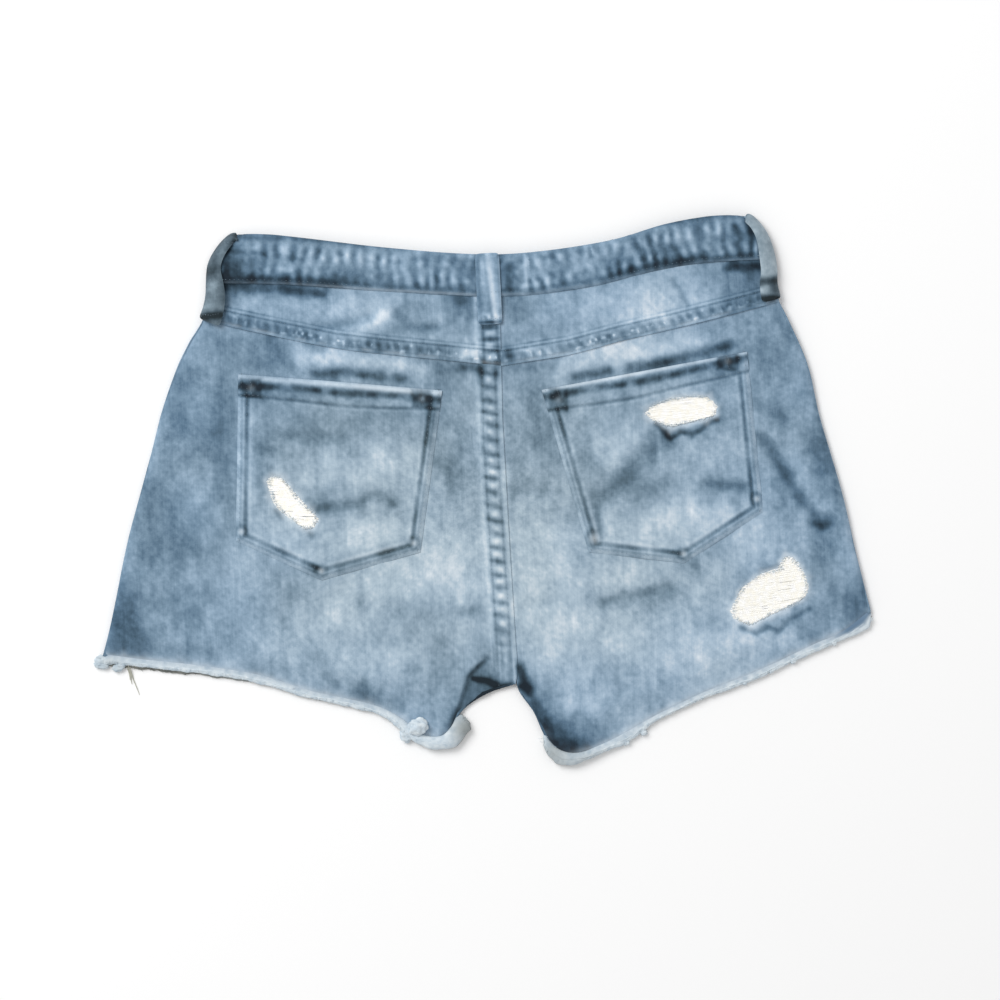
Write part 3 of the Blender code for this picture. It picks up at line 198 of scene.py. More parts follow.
def off_line(line, x, y):
    """How far along a line each point lies, and how far to its left."""
    nearest, along, off = np.full(x.shape, 1e9), np.zeros(x.shape), np.zeros(x.shape)
    start = 0.0
    for (ax, ay), (bx, by) in zip(line[:-1], line[1:]):
        dx, dy = bx - ax, by - ay
        length = math.hypot(dx, dy)
        share = np.clip(((x - ax) * dx + (y - ay) * dy) / length ** 2, 0, 1)
        px, py = x - ax - share * dx, y - ay - share * dy
        away = np.hypot(px, py)
        closer = away < nearest
        nearest = np.where(closer, away, nearest)
        along = np.where(closer, start + share * length, along)
        off = np.where(closer, away * np.sign(dx * py - dy * px), off)
        start += length
    return along, off


def hump(value, centre, width):
    return np.exp(-((value - centre) / width) ** 2)


def bands(value, *rows):
    """Soft bands added up, each row a strength, a centre and a width."""
    return sum(strength * hump(value, centre, width) for strength, centre, width in rows)


def ramp(value, width):
    """Rises from 0 to 1 over a few widths, and is half way at zero."""
    return 0.5 + 0.5 * np.tanh(0.5 * value / width)


def near_line(line, x, y, width):
    return hump(off_line(line, x, y)[1], 0, width)


def uneven(x, y, cell, seed):
    """Smooth random field from -1 to 1 whose patches are about one cell wide."""
    lattice = np.random.default_rng(seed).uniform(-1, 1, (64, 64))
    gx, gy = x / cell, y / cell
    ix, iy = np.floor(gx).astype(int), np.floor(gy).astype(int)
    fx, fy = gx - ix, gy - iy
    fx, fy = fx * fx * (3 - 2 * fx), fy * fy * (3 - 2 * fy)
    low, high = (lattice[ix & 63, row & 63] * (1 - fx) + lattice[(ix + 1) & 63, row & 63] * fx
                 for row in (iy, iy + 1))
    return low * (1 - fy) + high * fy


def washed_and_shaded(x, y, tone, fades_and_shade, marks, seed):
    """Height and tone of plain washed cloth: its fades, its creases and ridges with painted shade and painted
    highlight along them, and its own unevenness.
    """
    tone = np.full(x.shape, tone)
    lift = 0.22 * uneven(x, y, 24, seed) + 0.10 * uneven(x, y, 9, seed + 1)
    tone += 0.022 * uneven(x, y, 30, seed + 2) + 0.050 * uneven(x, y * 0.7, 11, seed + 3)
    tone += 0.044 * uneven(x, y * 0.6, 5.5, seed + 4) + 0.022 * uneven(x, y, 2.6, seed + 6)
    ragged, broken = uneven(x, y, 6, seed + 5), uneven(x, y, 10, seed + 7)
    for fx, fy, across, down, strength in fades_and_shade:
        tone += strength * hump(x, fx, across) * hump(y, fy, down)
    # Marks darken creases and the ground under edges with painted shade and lighten ridges with painted
    # highlight; some are lines of the wash's own.
    for line, width, height, shade in marks:
        share = hump(np.abs(off_line(line, x, y)[1]) * (1 + 0.30 * ragged), 0, width)
        lift += height * share
        tone += 1.15 * shade / 255 * share * (1 + 0.35 * broken)
    return lift, tone


def rubbed_rim(carrier, x, y):
    """How far the cloth round a rip has lost its blue, from 0 to 1."""
    rubbed = np.zeros(x.shape)
    for holder, node, slant, outline in RIPS.values():
        if holder == carrier:
            away = np.abs(off_line(outline + outline[:1], x, y)[1]) * (1 + 0.4 * uneven(x, y, 4, 301))
            rubbed = np.maximum(rubbed, hump(away, 0, 3.0))
    return rubbed


def deep_dye(x, y):
    """Where the blue has stayed deep: the hips, the yokes and the outsides of the legs."""
    middle = np.exp(-((x - 5) / 175) ** 4 - ((y + 20) / 115) ** 4)
    return np.clip(0.95 - 0.85 * middle + 0.2 * uneven(x, y, 34, 19), 0, 1)


def outer_patch(node, side):
    """The node's largest patch of faces that look up (side 1) or down (side -1), with its rims, in mm."""
    work = bmesh.new()
    work.from_mesh(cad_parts[node].data)
    bmesh.ops.remove_doubles(work, verts=work.verts, dist=1e-6)
    work.normal_update()
    for face in work.faces:
        face.tag = face.normal.z * side > 0.1
    best, best_area = [], 0.0
    for start in work.faces:
        if not start.tag:
            continue
        start.tag = False
        patch, queue = [], [start]
        while queue:
            face = queue.pop()
            patch.append(face)
            for other in (other for edge in face.edges for other in edge.link_faces if other.tag):
                other.tag = False
                queue.append(other)
        area = sum(f.calc_area() for f in patch)
        if area > best_area:
            best, best_area = patch, area
    chosen, linked = set(best), {}
    for edge in (edge for face in best for edge in face.edges):
        if sum(f in chosen for f in edge.link_faces) == 1:
            a, b = edge.verts
            linked.setdefault(a, []).append(b)
            linked.setdefault(b, []).append(a)
    loops, seen = [], set()
    for here in linked:
        loop = []
        while here is not None and here not in seen:
            seen.add(here)
            loop.append((here.co.x / MM, here.co.y / MM))
            here = next((v for v in linked[here] if v not in seen), None)
        if loop:
            loops.append(np.array(loop))
    places = {}
    for v in (v for face in best for v in face.verts):
        places.setdefault(v, len(places))
    tree = BVHTree.FromPolygons([v.co / MM for v in places], [[places[v] for v in f.verts] for f in best])
    work.free()
    return tree, sorted(loops, key=lambda loop: -abs(loop_area(loop)))


def loop_area(loop):
    x, y = loop.T
    return 0.5 * float(np.sum(x * np.roll(y, -1) - y * np.roll(x, -1)))


def between(t, start, leaving, end, arriving):
    """A point at a share t of the way along a curve with given ends and slopes."""
    return ((2 * t ** 3 - 3 * t ** 2 + 1) * start + (t ** 3 - 2 * t ** 2 + t) * leaving
            + (-2 * t ** 3 + 3 * t ** 2) * end + (t ** 3 - t ** 2) * arriving)


def smooth_loop(loop, step):
    """A closed curve through the corners of a loop, rounded except at real corners, anticlockwise."""
    if loop_area(loop) < 0:
        loop = loop[::-1]
    ahead = np.roll(loop, -1, axis=0) - loop
    lengths = np.hypot(*ahead.T)
    loop, ahead, lengths = loop[lengths > 1e-3], ahead[lengths > 1e-3], lengths[lengths > 1e-3]
    unit = ahead / lengths[:, None]
    behind = np.roll(unit, 1, axis=0)
    turn = np.arccos(np.clip((unit * behind).sum(axis=1), -1, 1))
    both = unit + behind
    both /= np.maximum(np.hypot(*both.T), 1e-6)[:, None]
    result = []
    for i in range(len(loop)):
        j = (i + 1) % len(loop)
        start, end = (unit[i] if turn[n] > CORNER else both[n] for n in (i, j))
        count = max(1, round(lengths[i] / step))
        for k in range(count):
            result.append(between(k / count, loop[i], lengths[i] * start, loop[j], lengths[i] * end))
    return np.array(result)


def within(points, loop):
    """Which points lie inside a closed loop."""
    inside = np.zeros(len(points), bool)
    x, y = points.T
    for (ax, ay), (bx, by) in zip(loop, np.roll(loop, -1, axis=0)):
        if ay != by:
            inside ^= ((ay > y) != (by > y)) & (x < (bx - ax) * (y - ay) / (by - ay) + ax)
    return inside


def finder(points):
    """Finds the nearest of some flat points."""
    tree = KDTree(len(points))
    for i, (x, y) in enumerate(points):
        tree.insert((x, y, 0), i)
    tree.balance()
    return lambda x, y: tree.find((x, y, 0))[2]


def ring_edges(loops):
    """The edges round each closed loop, as pairs of numbers that run on from loop to loop."""
    edges, start = [], 0
    for loop in loops:
        edges.append([(start + i, start + (i + 1) % len(loop)) for i in range(len(loop))])
        start += len(loop)
    return edges


def fill(loops, step):
    """Triangles inside the first loop and outside the others, on an even grid of points."""
    rim = np.vstack(loops)
    low, high = loops[0].min(axis=0), loops[0].max(axis=0)
    rows = np.arange(low[1] + 0.5 * step, high[1], step * math.sqrt(0.75))
    grid = np.array([(x, y) for i, y in enumerate(rows)
                     for x in np.arange(low[0] + (0.25 + 0.5 * (i % 2)) * step, high[0], step)])
    keep = within(grid, loops[0])
    for hole in loops[1:]:
        keep &= ~within(grid, hole)
    from_rim = finder(rim)
    grid = [point for point in grid[keep] if from_rim(*point) > 0.62 * step]
    points = np.vstack((rim, grid))
    done = delaunay_2d_cdt([Vector(p) for p in points], sum(ring_edges(loops), []), [], 1, 1e-4)
    assert len(done[0]) == len(points), "two points of the grid fell together"
    triangles = np.array(done[2])
    centres = np.array(done[0])[triangles].mean(axis=1)
    keep = np.ones(len(triangles), bool)
    for hole in loops[1:]:
        keep &= ~within(centres, hole)
    return points, triangles[keep]


def heights(tree, points, side):
    """Height of the CAD surface at each point, or of its nearest place."""
    result = []
    for x, y in points:
        hit = tree.ray_cast(Vector((x, y, 200 * side)), Vector((0, 0, -side)))[0]
        result.append((hit or tree.find_nearest(Vector((x, y, 5)))[0]).z)
    return np.array(result)


def settle(values, triangles, pinned, rounds):
    """Evens out a field over a mesh without moving its rim."""
    pairs = np.vstack((triangles[:, [0, 1]], triangles[:, [1, 2]], triangles[:, [2, 0]]))
    count = np.bincount(pairs.ravel(), minlength=len(values))
    for _ in range(rounds):
        total = np.bincount(pairs[:, 0], values[pairs[:, 1]], len(values))
        total += np.bincount(pairs[:, 1], values[pairs[:, 0]], len(values))
        values = np.where(pinned, values, 0.5 * values + 0.5 * total / np.maximum(count, 1))
    return values


def vertex_normals(points, triangles):
    a, b, c = (points[triangles[:, i]] for i in range(3))
    face = np.cross(b - a, c - a)
    result = np.zeros_like(points)
    for i in range(3):
        for axis in range(3):
            result[:, axis] += np.bincount(triangles[:, i], face[:, axis], len(points))
    return result / np.maximum(np.linalg.norm(result, axis=1), 1e-9)[:, None]


def new_mesh(name, points, edges, faces, fields=None):
    """A smooth mesh in metres with fields on its points, one number or three a point."""
    mesh = bpy.data.meshes.new(name)
    mesh.from_pydata(np.asarray(points, float).tolist(), edges, faces)
    if faces:
        mesh.polygons.foreach_set("use_smooth", [True] * len(mesh.polygons))
    for field, values in (fields or {}).items():
        values = np.asarray(values, np.float32)
        kind, key = ("FLOAT", "value") if values.ndim == 1 else ("FLOAT_VECTOR", "vector")
        mesh.attributes.new(field, kind, "POINT").data.foreach_set(key, values.ravel())
    return mesh


def shown(name, mesh):
    piece = bpy.data.objects.new(name, mesh)
    bpy.context.scene.collection.objects.link(piece)
    return piece


def new_piece(name, points, faces, material, fields=None):
    """A piece from points in mm, with its place in its mesh."""
    mesh = new_mesh(name, np.asarray(points) * MM, [], faces, fields)
    mesh.materials.append(material)
    return shown(name, mesh)


def leftward(along):
    """Directions turned a quarter to the left, one unit long."""
    return np.column_stack((-along[:, 1], along[:, 0])) / np.hypot(*along.T)[:, None]


def cloth(name, node, side, grid, material, dress, wall=DENIM_WALL, rips=0, flush=(), blunt=0,
          edge=(EDGE_ROUND, EDGE_REACH)):
    """One layer of cloth on the form of its CAD node, with its own creases, closed at its rims. Its
    edges turn down, except along the seams in flush; blunt rounds its corners."""
    tree, rims = outer_patch(node, side)
    loops = [smooth_loop(rim, grid) for rim in rims[:1 + rips]]
    for _ in range(blunt):
        loops = [0.5 * loop + 0.25 * (np.roll(loop, 1, axis=0) + np.roll(loop, -1, axis=0)) for loop in loops]
    inward = [leftward(np.roll(loop, -1, axis=0) - np.roll(loop, 1, axis=0)) * (-1 if i else 1)
              for i, loop in enumerate(loops)]
    loops = [loop - SEAM_CLOSE * turned for loop, turned in zip(loops, inward)]
    inward = np.vstack(inward)
    rim_count = len(inward)
    layers = []
    for spacing, rounds in ((grid, 8), (max(grid, LINING_GRID), 1)):
        flat, triangles = fill(loops, spacing)
        read = flat.copy()
        read[:rim_count] += 0.05 * inward           # the rim's own height is read just inside it
        z = settle(heights(tree, read, side), triangles, np.arange(len(flat)) < rim_count, rounds)
        layers.append((flat, triangles, z, *dress(*flat.T)))
    flat, triangles, z, lift, tone, wear = layers[0]
    low_flat, low_triangles, low_z, low_lift, low_tone, low_wear = layers[1]
    from_rim = finder(np.vstack(loops))
    turned_edge = np.ones(len(flat))
    for line in flush:
        turned_edge *= 1 - near_line(line, *flat.T, 2.5)
    lift = lift - edge[0] * turned_edge * hump(np.array([from_rim(x, y) for x, y in flat]), 0, edge[1])
    top = np.column_stack((flat, z + side * lift))
    base = np.column_stack((low_flat, low_z + side * np.minimum(low_lift, 0)))
    if side < 0:
        triangles, low_triangles = triangles[:, ::-1], low_triangles[:, ::-1]
    base -= wall * vertex_normals(base, low_triangles)
    thin = np.maximum(wall - edge[0] * turned_edge[:rim_count], 0.15)[:, None]
    base[:rim_count] = top[:rim_count] - thin * vertex_normals(top, triangles)[:rim_count]
    shift = len(top)
    faces = triangles.tolist() + (low_triangles[:, ::-1] + shift).tolist()
    for i, ring in enumerate(ring_edges(loops)):
        for a, b in ring:
            face = (b, a, a + shift, b + shift)
            faces.append(face if (i == 0) == (side > 0) else face[::-1])
    points = np.vstack((top, base))
    piece = new_piece(name, points, faces, material, {
        "tone": np.append(tone, low_tone), "wear": np.append(wear, low_wear),
        "blue": deep_dye(*points.T[:2])})
    piece.data.set_sharp_from_angle(angle=SHARP_EDGE)
    return piece


def sheet_of(piece, node):
    """Hangs a piece of cloth on the root and hides the CAD part that it stands in for."""
    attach(piece, "root")
    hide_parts(node)


def denim(name, faded, deep, streaks=1.0):
    """Ring-dyed cotton twill, stone washed: the blue follows the piece's own tone, and it is matt,
    with faint upright slubs, a fine mottle and the diagonal of the twill. The real twill has a
    line every 0.8 mm; it is drawn every 1.7 mm because the finer one doesn't show."""
    material, tree, place = finish_with(name, Roughness=0.9, Specular_IOR_Level=0.25, Sheen_Weight=0.08)
    total = add(tree, "ShaderNodeAttribute", out="Fac", attribute_name="tone")
    stretched = add(tree, "ShaderNodeMapping", {"Vector": place, "Scale": (1.0, 0.08, 0.3)})
    # each row: what it reads, patches per metre, detail, strength
    for where, scale, detail, strength in (
            (place, 55, 3, 0.14), (place, 210, 3, 0.22), (place, 850, 2, 0.06),
            (stretched, 300, 2, 0.12 * streaks), (stretched, 1000, 1, 0.05 * streaks)):
        grain = add(tree, "ShaderNodeTexNoise", {
            "Vector": where, "Scale": float(scale), "Detail": float(detail), "Roughness": 0.6})
        part = add(tree, "ShaderNodeMath", {0: grain, 1: strength, 2: -0.5 * strength},
                   operation="MULTIPLY_ADD")
        total = add(tree, "ShaderNodeMath", {0: total, 1: part}, operation="ADD")
    twill = add(tree, "ShaderNodeTexWave", {
        "Vector": place, "Scale": 93.0, "Distortion": 1.2, "Detail": 1.0, "Detail Scale": 3.0}, "Fac",
        wave_type="BANDS", bands_direction="DIAGONAL")
    total = add(tree, "ShaderNodeMath", {0: twill, 1: 0.014, 2: total}, operation="MULTIPLY_ADD")
    dyes = []
    for hues in (faded, deep):
        dye = add(tree, "ShaderNodeValToRGB", {"Fac": total}, None)
        while len(dye.color_ramp.elements) < len(hues):
            dye.color_ramp.elements.new(0.5)
        for element, (position, code) in zip(dye.color_ramp.elements, hues):
            element.position, element.color = position, colour(code)
        dyes.append(dye.outputs[0])
    blue, worn = (add(tree, "ShaderNodeAttribute", out="Fac", attribute_name=field)
                  for field in ("blue", "wear"))
    dyed = add(tree, "ShaderNodeMix", {"Factor": blue, 6: dyes[0], 7: dyes[1]}, 2, data_type="RGBA")
    bare = add(tree, "ShaderNodeMix", {"Factor": worn, 6: dyed, 7: colour("DCE4EA")}, 2, data_type="RGBA")
    height = add(tree, "ShaderNodeMath", {0: twill, 1: 0.5, 2: grain}, operation="MULTIPLY_ADD")
    return surfaced(material, bare, height, 0.5, 0.15)


FADED_BLUES = (
    (0.12, "1A252B"), (0.25, "314049"), (0.35, "485B65"), (0.45, "5E7381"), (0.55, "788D9C"),
    (0.65, "93A7B6"), (0.75, "ADBFCB"), (0.95, "E6ECF0"))
DEEP_BLUES = (
    (0.12, "16232F"), (0.25, "2B4050"), (0.35, "415A6E"), (0.45, "58738A"), (0.55, "738DA3"),
    (0.65, "8DA6BC"), (0.75, "A8BED2"), (0.95, "E4EBF2"))
washed_denim = denim("washed denim", FADED_BLUES, DEEP_BLUES)


def dashes(along, off, pitch, seed):
    """Dark and light dashes across a shrunken seam, from -1 to 1, uneven in size and strength."""
    place = along + 0.3 * off + 1.4 * uneven(along, 0, 2.2 * pitch, seed)
    wave = np.cos(2 * math.pi * place / pitch) + uneven(along, 0.25 * off, 0.55 * pitch, seed + 1)
    return np.clip(0.75 * wave * (0.85 + 0.5 * uneven(along, 0, 3.1 * pitch, seed + 2)), -1.2, 1.2)


FOLD_LINE = ((8, -106), (2, -115), (-6, -122), (-13, -129), (-17, -140), (-21, -152), (-26, -166))
PLEAT_LINE = ((24.5, -124), (26.5, -131), (29.5, -138))     # a deep pleat of the right leg
SHADOW_BAR = ((-9, -130), (0, -131.8), (6, -134.5))         # black in the corner under the fold
CROTCH_EDGE = ((8, -138), (14, -136.5), (24, -137))


def seat_dress(x, y):
    """Heights, tones and wear of both leg backs, with the felled seam between them."""
    lift, tone = washed_and_shaded(x, y, SEAT_TONE, SEAT_FADES_AND_SHADE, SEAT_MARKS, 11)
    along, off = off_line(CENTRE_LINE, x, y)
    off = -off
    side = abs(off)
    below, above_crotch = ramp(92 - y, 2), ramp(y + 108, 5)
    phase = 2 * math.pi * (along + 0.25 * off + 2.6 * uneven(along, 0, 19, 21)) / CENTRE_PITCH
    wave = np.cos(phase) * (0.75 + 0.5 * uneven(along, off, 12, 22))
    wave += 0.45 * uneven(along, 0.5 * off, 3.6, 25)
    light, dark = np.clip(wave, 0, 1.2), np.clip(-wave, 0, 1.2)
    rope = below * above_crotch
    lift += below * 0.25 * (hump(off, 0, 6) - hump(side, 4.9, 0.8)) + rope * 0.35 * wave * hump(off, 0, 5)
    tone += rope * 0.19 * light * hump(off, 0, 3.6)
    tone -= rope * 0.22 * dark ** 1.5 * (hump(off, 0, 5.6) + 0.35 * hump(side, 4.6, 1.3))
    tone += below * (bands(off, (0.09, -8.2, 2), (0.04, 6.6, 2), (0.05, 7.6, 0.8))
                     + 0.06 * above_crotch * hump(off, 9.6, 1.5) - 0.09 * hump(side, 4.9, 1))
    tone += below * (1 - above_crotch) * bands(off, (-0.12, -7.4, 0.9), (0.06, -3.6, 0.9), (0.07, 0.4, 0.9),
                                               (-0.10, -1.8, 0.9), (-0.08, 3.4, 0.9), (0.05, 6.4, 0.9))
    # Painted shade: a V below the yoke's edge on each side of the centre seam, and the right leg's deep
    # pleat.
    tone -= 0.24 * hump(abs(off + 0.4), 5.8, 2.8) * hump(y, 89, 6.0)
    tone -= 0.44 * near_line(PLEAT_LINE, x, y, 4.5) * ramp(off - 8, 0.4)
    lift -= 0.8 * near_line(PLEAT_LINE, x, y, 3.4)
    # the left leg folds over its inseam: beyond the fold the cloth lies lower, and its deep blue and
    # the black under the fold are painted shade
    run, past = off_line(FOLD_LINE, x, y)
    open_fold = ramp(run - 14, 3) * (x < 20)
    over = open_fold * ramp(past - 0.2, 0.45)
    lift += -1.5 * over + 0.5 * open_fold * hump(past, -3.0, 2.4)
    deep = 0.40 + 0.03 * uneven(x, y, 5, 23) - 0.08 * hump(past, 0.8, 1.4)
    deep -= 0.50 * near_line(SHADOW_BAR, x, y, 1.8 + 0.9 * np.clip((x + 9) / 14, 0, 1))
    tone = tone * (1 - over) + over * deep + open_fold * bands(past, (-0.12, -0.6, 1), (0.03, -3.5, 2))
    # Painted shade along the crotch's lower edge.
    tone -= 0.36 * near_line(CROTCH_EDGE, x, y, 2.8)
    wear = rope * 0.22 * np.clip(light * hump(off, 0, 3) - 0.3, 0, 1)
    for table in HEMS.values():
        near = np.abs(off_line([row[:2] for row in table], x, y)[1]) * (1 + 0.30 * uneven(x, y, 5, 24))
        clean = 1 - bands(x, (0.92, 48, 18), (0.95, -22, 12), (0.8, 273, 16))
        wear += clean * bands(near, (0.42, 0, 2.4), (0.05, 3.5, 3))
        tone += 0.03 * clean * hump(near, 0, 5.0)
    rubbed = rubbed_rim("leg_back_right", x, y)
    return lift, tone + 0.10 * rubbed, np.clip(wear + 0.55 * rubbed, 0, 1)


for half, rips in (("left", 0), ("right", 1)):
    panel = cloth("leg_back_" + half, "back_" + half, 1, BACK_GRID, washed_denim, seat_dress, rips=rips,
                  flush=(CENTRE_EDGE, *YOKE_EDGES.values()))
    sheet_of(panel, "back_" + half)


# ---- Yokes ----
# Two shaped strips of the same denim between the waistband and the legs. The lower edge of each
# is felled over the leg with two rows of stitching, and the washed seam is roped dark and light.

YOKE_GRID = 1.0
YOKE_TONE = 0.60
BAND_LOW = (                    # lower edge of the waistband
    (-184.5, 163.5), (-132, 160.3), (-58.9, 151.8), (8.6, 145.2), (46, 144.4), (93.8, 149.1), (130, 156.5),
    (169.4, 161.5), (217.5, 162))

# Soft patches as on the seat; the dark one at (32, 140) is painted shade beside the centre loop.
YOKE_FADES_AND_SHADE = (
    (-155, 148, 24, 10, -0.02), (-172, 150, 10, 14, -0.08), (-66, 136, 14, 9, 0.11),
    (-92, 142, 14, 8, 0.05), (-30, 146, 26, 5, 0.02), (-30, 114, 20, 6, 0.02), (50, 135, 22, 12, -0.01),
    (38, 122, 12, 18, -0.03), (90, 128, 26, 12, 0.06), (130, 140, 24, 12, 0.11), (190, 144, 18, 10, -0.05),
    (206, 150, 12, 12, -0.1), (-120, 146, 14, 8, 0.03), (-8, 145, 8, 6, -0.14), (-60, 118, 16, 10, -0.07),
    (2, 136, 18, 10, -0.08), (-90, 122, 16, 9, 0.07), (30, 118, 12, 9, 0.06), (136, 121, 20, 8, 0.13),
    (120, 136, 22, 10, 0.07), (32, 140, 8, 10, -0.13), (210, 141, 10, 8, -0.08), (0, 104, 13, 4, 0.34),
    (44, 104, 15, 4.5, 0.18), (-90, 136, 12, 7, 0.06), (150, 121, 14, 6, 0.08), (-120, 121, 12, 6, -0.05),
    (-88, 118, 14, 5, 0.06), (-176, 141, 10, 7, 0.06))

# Creases and lines as on the seat; the first two rows are painted shadow under the waistband's lower edge.
YOKE_MARKS = (
    (((-178, 161), (-149, 159), (-121, 155.5), (-104, 152)), 4.6, -0.7, -76),
    (((190, 158), (214, 157.5)), 4.6, -0.6, -66),
    (((-110, 128.5), (-92, 129.5), (-71, 135)), 3.6, -0.8, -28),
    (((-52, 135), (-42, 126), (-24, 124)), 4.3, -0.9, -38), (((-74, 127), (-60, 133)), 5.8, 0.7, 22),
    (((-5, 141), (1, 143)), 4.3, -0.5, -32), (((148, 150), (158, 132)), 2.2, -0.5, -26),
    (((65, 118), (87, 121)), 6.5, -0.4, -10), (((64, 107), (123, 124), (167, 135)), 11.5, 0.3, 20),
    (((-157, 150), (-100, 145)), 7.2, 0.2, 8))

for half, edge in YOKE_EDGES.items():
    def yoke_dress(x, y):
        lift, tone = washed_and_shaded(x, y, YOKE_TONE, YOKE_FADES_AND_SHADE, YOKE_MARKS, 31)
        along, off = off_line(edge, x, y)
        rope = dashes(along, off, 7.4, 41) * hump(off, 5.4, 3.4)
        flecks = np.clip(uneven(along, 0.8 * off, 2.2, 47) + 0.5 * uneven(along, off, 9, 48) - 0.35, 0, 1)
        lift += 0.28 * rope - bands(off, (0.22, 1.9, 0.7), (0.22, 10.4, 0.7))
        tone += (0.09 * rope + 0.50 * flecks * hump(off, 5.2, 2.8)
                 + bands(off, (-0.17, 5.6, 3.8), (-0.07, 2.4, 0.8), (0.02, 11.8, 0.9))
                 - 0.17 * hump(off, 10.4, 0.8) * (1 + 0.3 * uneven(along, off, 3, 46))
                 - 0.15 * hump(off, 13.2, 0.7) * (0.7 + 0.5 * uneven(along, off, 14, 44))
                 - 0.12 * hump(off, 0, 1.6) * (0.7 + 0.6 * uneven(along, off, 9, 45)))
        wear = 0.16 * hump(off, 1.6, 1.2) * np.clip(0.2 + uneven(along, off, 8, 43), 0, 1)
        if half == "left":
            # the centre seam's felled strip lies on the left yoke and is roped like the seat's
            middle = x - 14.5
            bars = np.cos(2 * math.pi * (y + 2.5) / 8.6)
            lift += 0.25 * bars * hump(middle, 0, 5)
            tone += bands(middle, (0.20 * np.clip(bars, 0, 1), 0, 3.4), (-0.26 * np.clip(-bars, 0, 1), 0, 6),
                          (0.14, -9.5, 2), (-0.05, -1, 7), (0.16 * hump(y, 101, 6), 0, 3))
            tone += bands(abs(middle), (-0.12, 5, 1.2), (-0.15 * hump(y, 95, 6), 5.6, 3.2))
        tone -= 0.22 * hump(x, 27, 4) * hump(y, 103, 5)
        return lift, tone, wear

    yoke = cloth("yoke_" + half + "_denim", "yoke_" + half, 1, YOKE_GRID, washed_denim, yoke_dress,
                 flush=(CENTRE_EDGE, edge, BAND_LOW))
    sheet_of(yoke, "yoke_" + half)


# ---- Patch pockets ----
# Five-cornered patches with a hem turned in at the mouth, sewn on with two rows of stitching.
# The mouth's edge is rubbed white, the hem below it is darker, partly its own blue and partly
# painted shade where the cloth sinks in under the mouth's edge, and bar-tacks hold the corners.

POCKET_GRID = 1.0
POCKET_TONE = {"left": 0.625, "right": 0.60}
POCKET_MOUTHS = {
    "left": ((-167.8, 97), (-94.9, 88), (-22.1, 78.4)),
    "right": ((50, 75.5), (124.3, 85.7), (198.7, 95.9))}
POCKET_SIDES = {
    "left": ((-167.8, 97), (-175.2, -22.7), (-114.7, -53.7), (-43.2, -36.9), (-22.1, 78.4)),
    "right": ((50, 75.5), (78.3, -42.6), (146.3, -53.7), (204.8, -19.7), (198.7, 95.9))}
# Along these turns the cloth is darkened with painted shade.
POCKET_TURNS = {                # where the cloth sinks in under the thick edge of the mouth
    "left": ((-168, 89.5), (-124, 85.6), (-95, 80.7), (-52, 76.8), (-22, 72)),
    "right": (
        (50, 70.5), (68, 73), (92, 76), (121, 78.6), (150, 83.4), (164, 86.6), (179, 89.4), (199, 93))}
POCKET_HEMS = {
    "left": ((-168, 82), (-153, 80), (-124, 75.8), (-96, 71), (-67, 68.2), (-22, 65)),
    "right": ((50, 60), (62, 61.6), (91, 63.8), (120, 67.1), (149, 73), (178, 78.1), (199, 82))}
POCKET_TACKS = {                # middle and half size of the worn square at each end of the mouth
    "left": ((-159.2, 86.8, 7.6, 7.2), (-36.6, 73.1, 7.2, 6.5)),
    "right": ((61.5, 67.7, 6.8, 8.6), (184.5, 90, 8, 7))}
MOUTH_LIP = {"left": (1.9, 1.9), "right": (0.7, 1.3)}       # middle and width of the rubbed edge
TOE_SPOTS = {                   # inset and radius of the white spot at each lower corner
    "left": ((6.5, 1.8), (6.5, 1.8), (6.5, 1.8)), "right": ((9.5, 3.2), (6.5, 1.8), (9.5, 1.8))}

POCKET_FADES = {
    "left": (
        (-130, 52, 26, 20, -0.05), (-68, 58, 34, 14, -0.12), (-80, 22, 36, 18, 0.07),
        (-140, -16, 26, 14, 0.06), (-80, -22, 36, 12, 0.12), (-45, 35, 10, 30, 0), (-122, 80, 26, 6, -0.11),
        (-152, 58, 12, 30, -0.1), (-60, -22, 12, 12, 0.07), (-135, 2, 24, 9, -0.07),
        (-120, -38, 14, 8, 0.07)),
    "right": (
        (92, 55, 22, 14, 0.05), (110, 30, 26, 22, 0.02), (170, 22, 26, 16, 0.07), (150, -22, 40, 16, 0.13),
        (98, -20, 16, 14, 0.11), (188, 60, 8, 30, 0), (120, -40, 24, 8, 0.07), (84, 25, 8, 20, -0.02),
        (180, 82, 14, 10, -0.08), (90, 78, 20, 8, 0.06), (120, -6, 12, 16, -0.08), (118, 60, 10, 7, -0.06))}

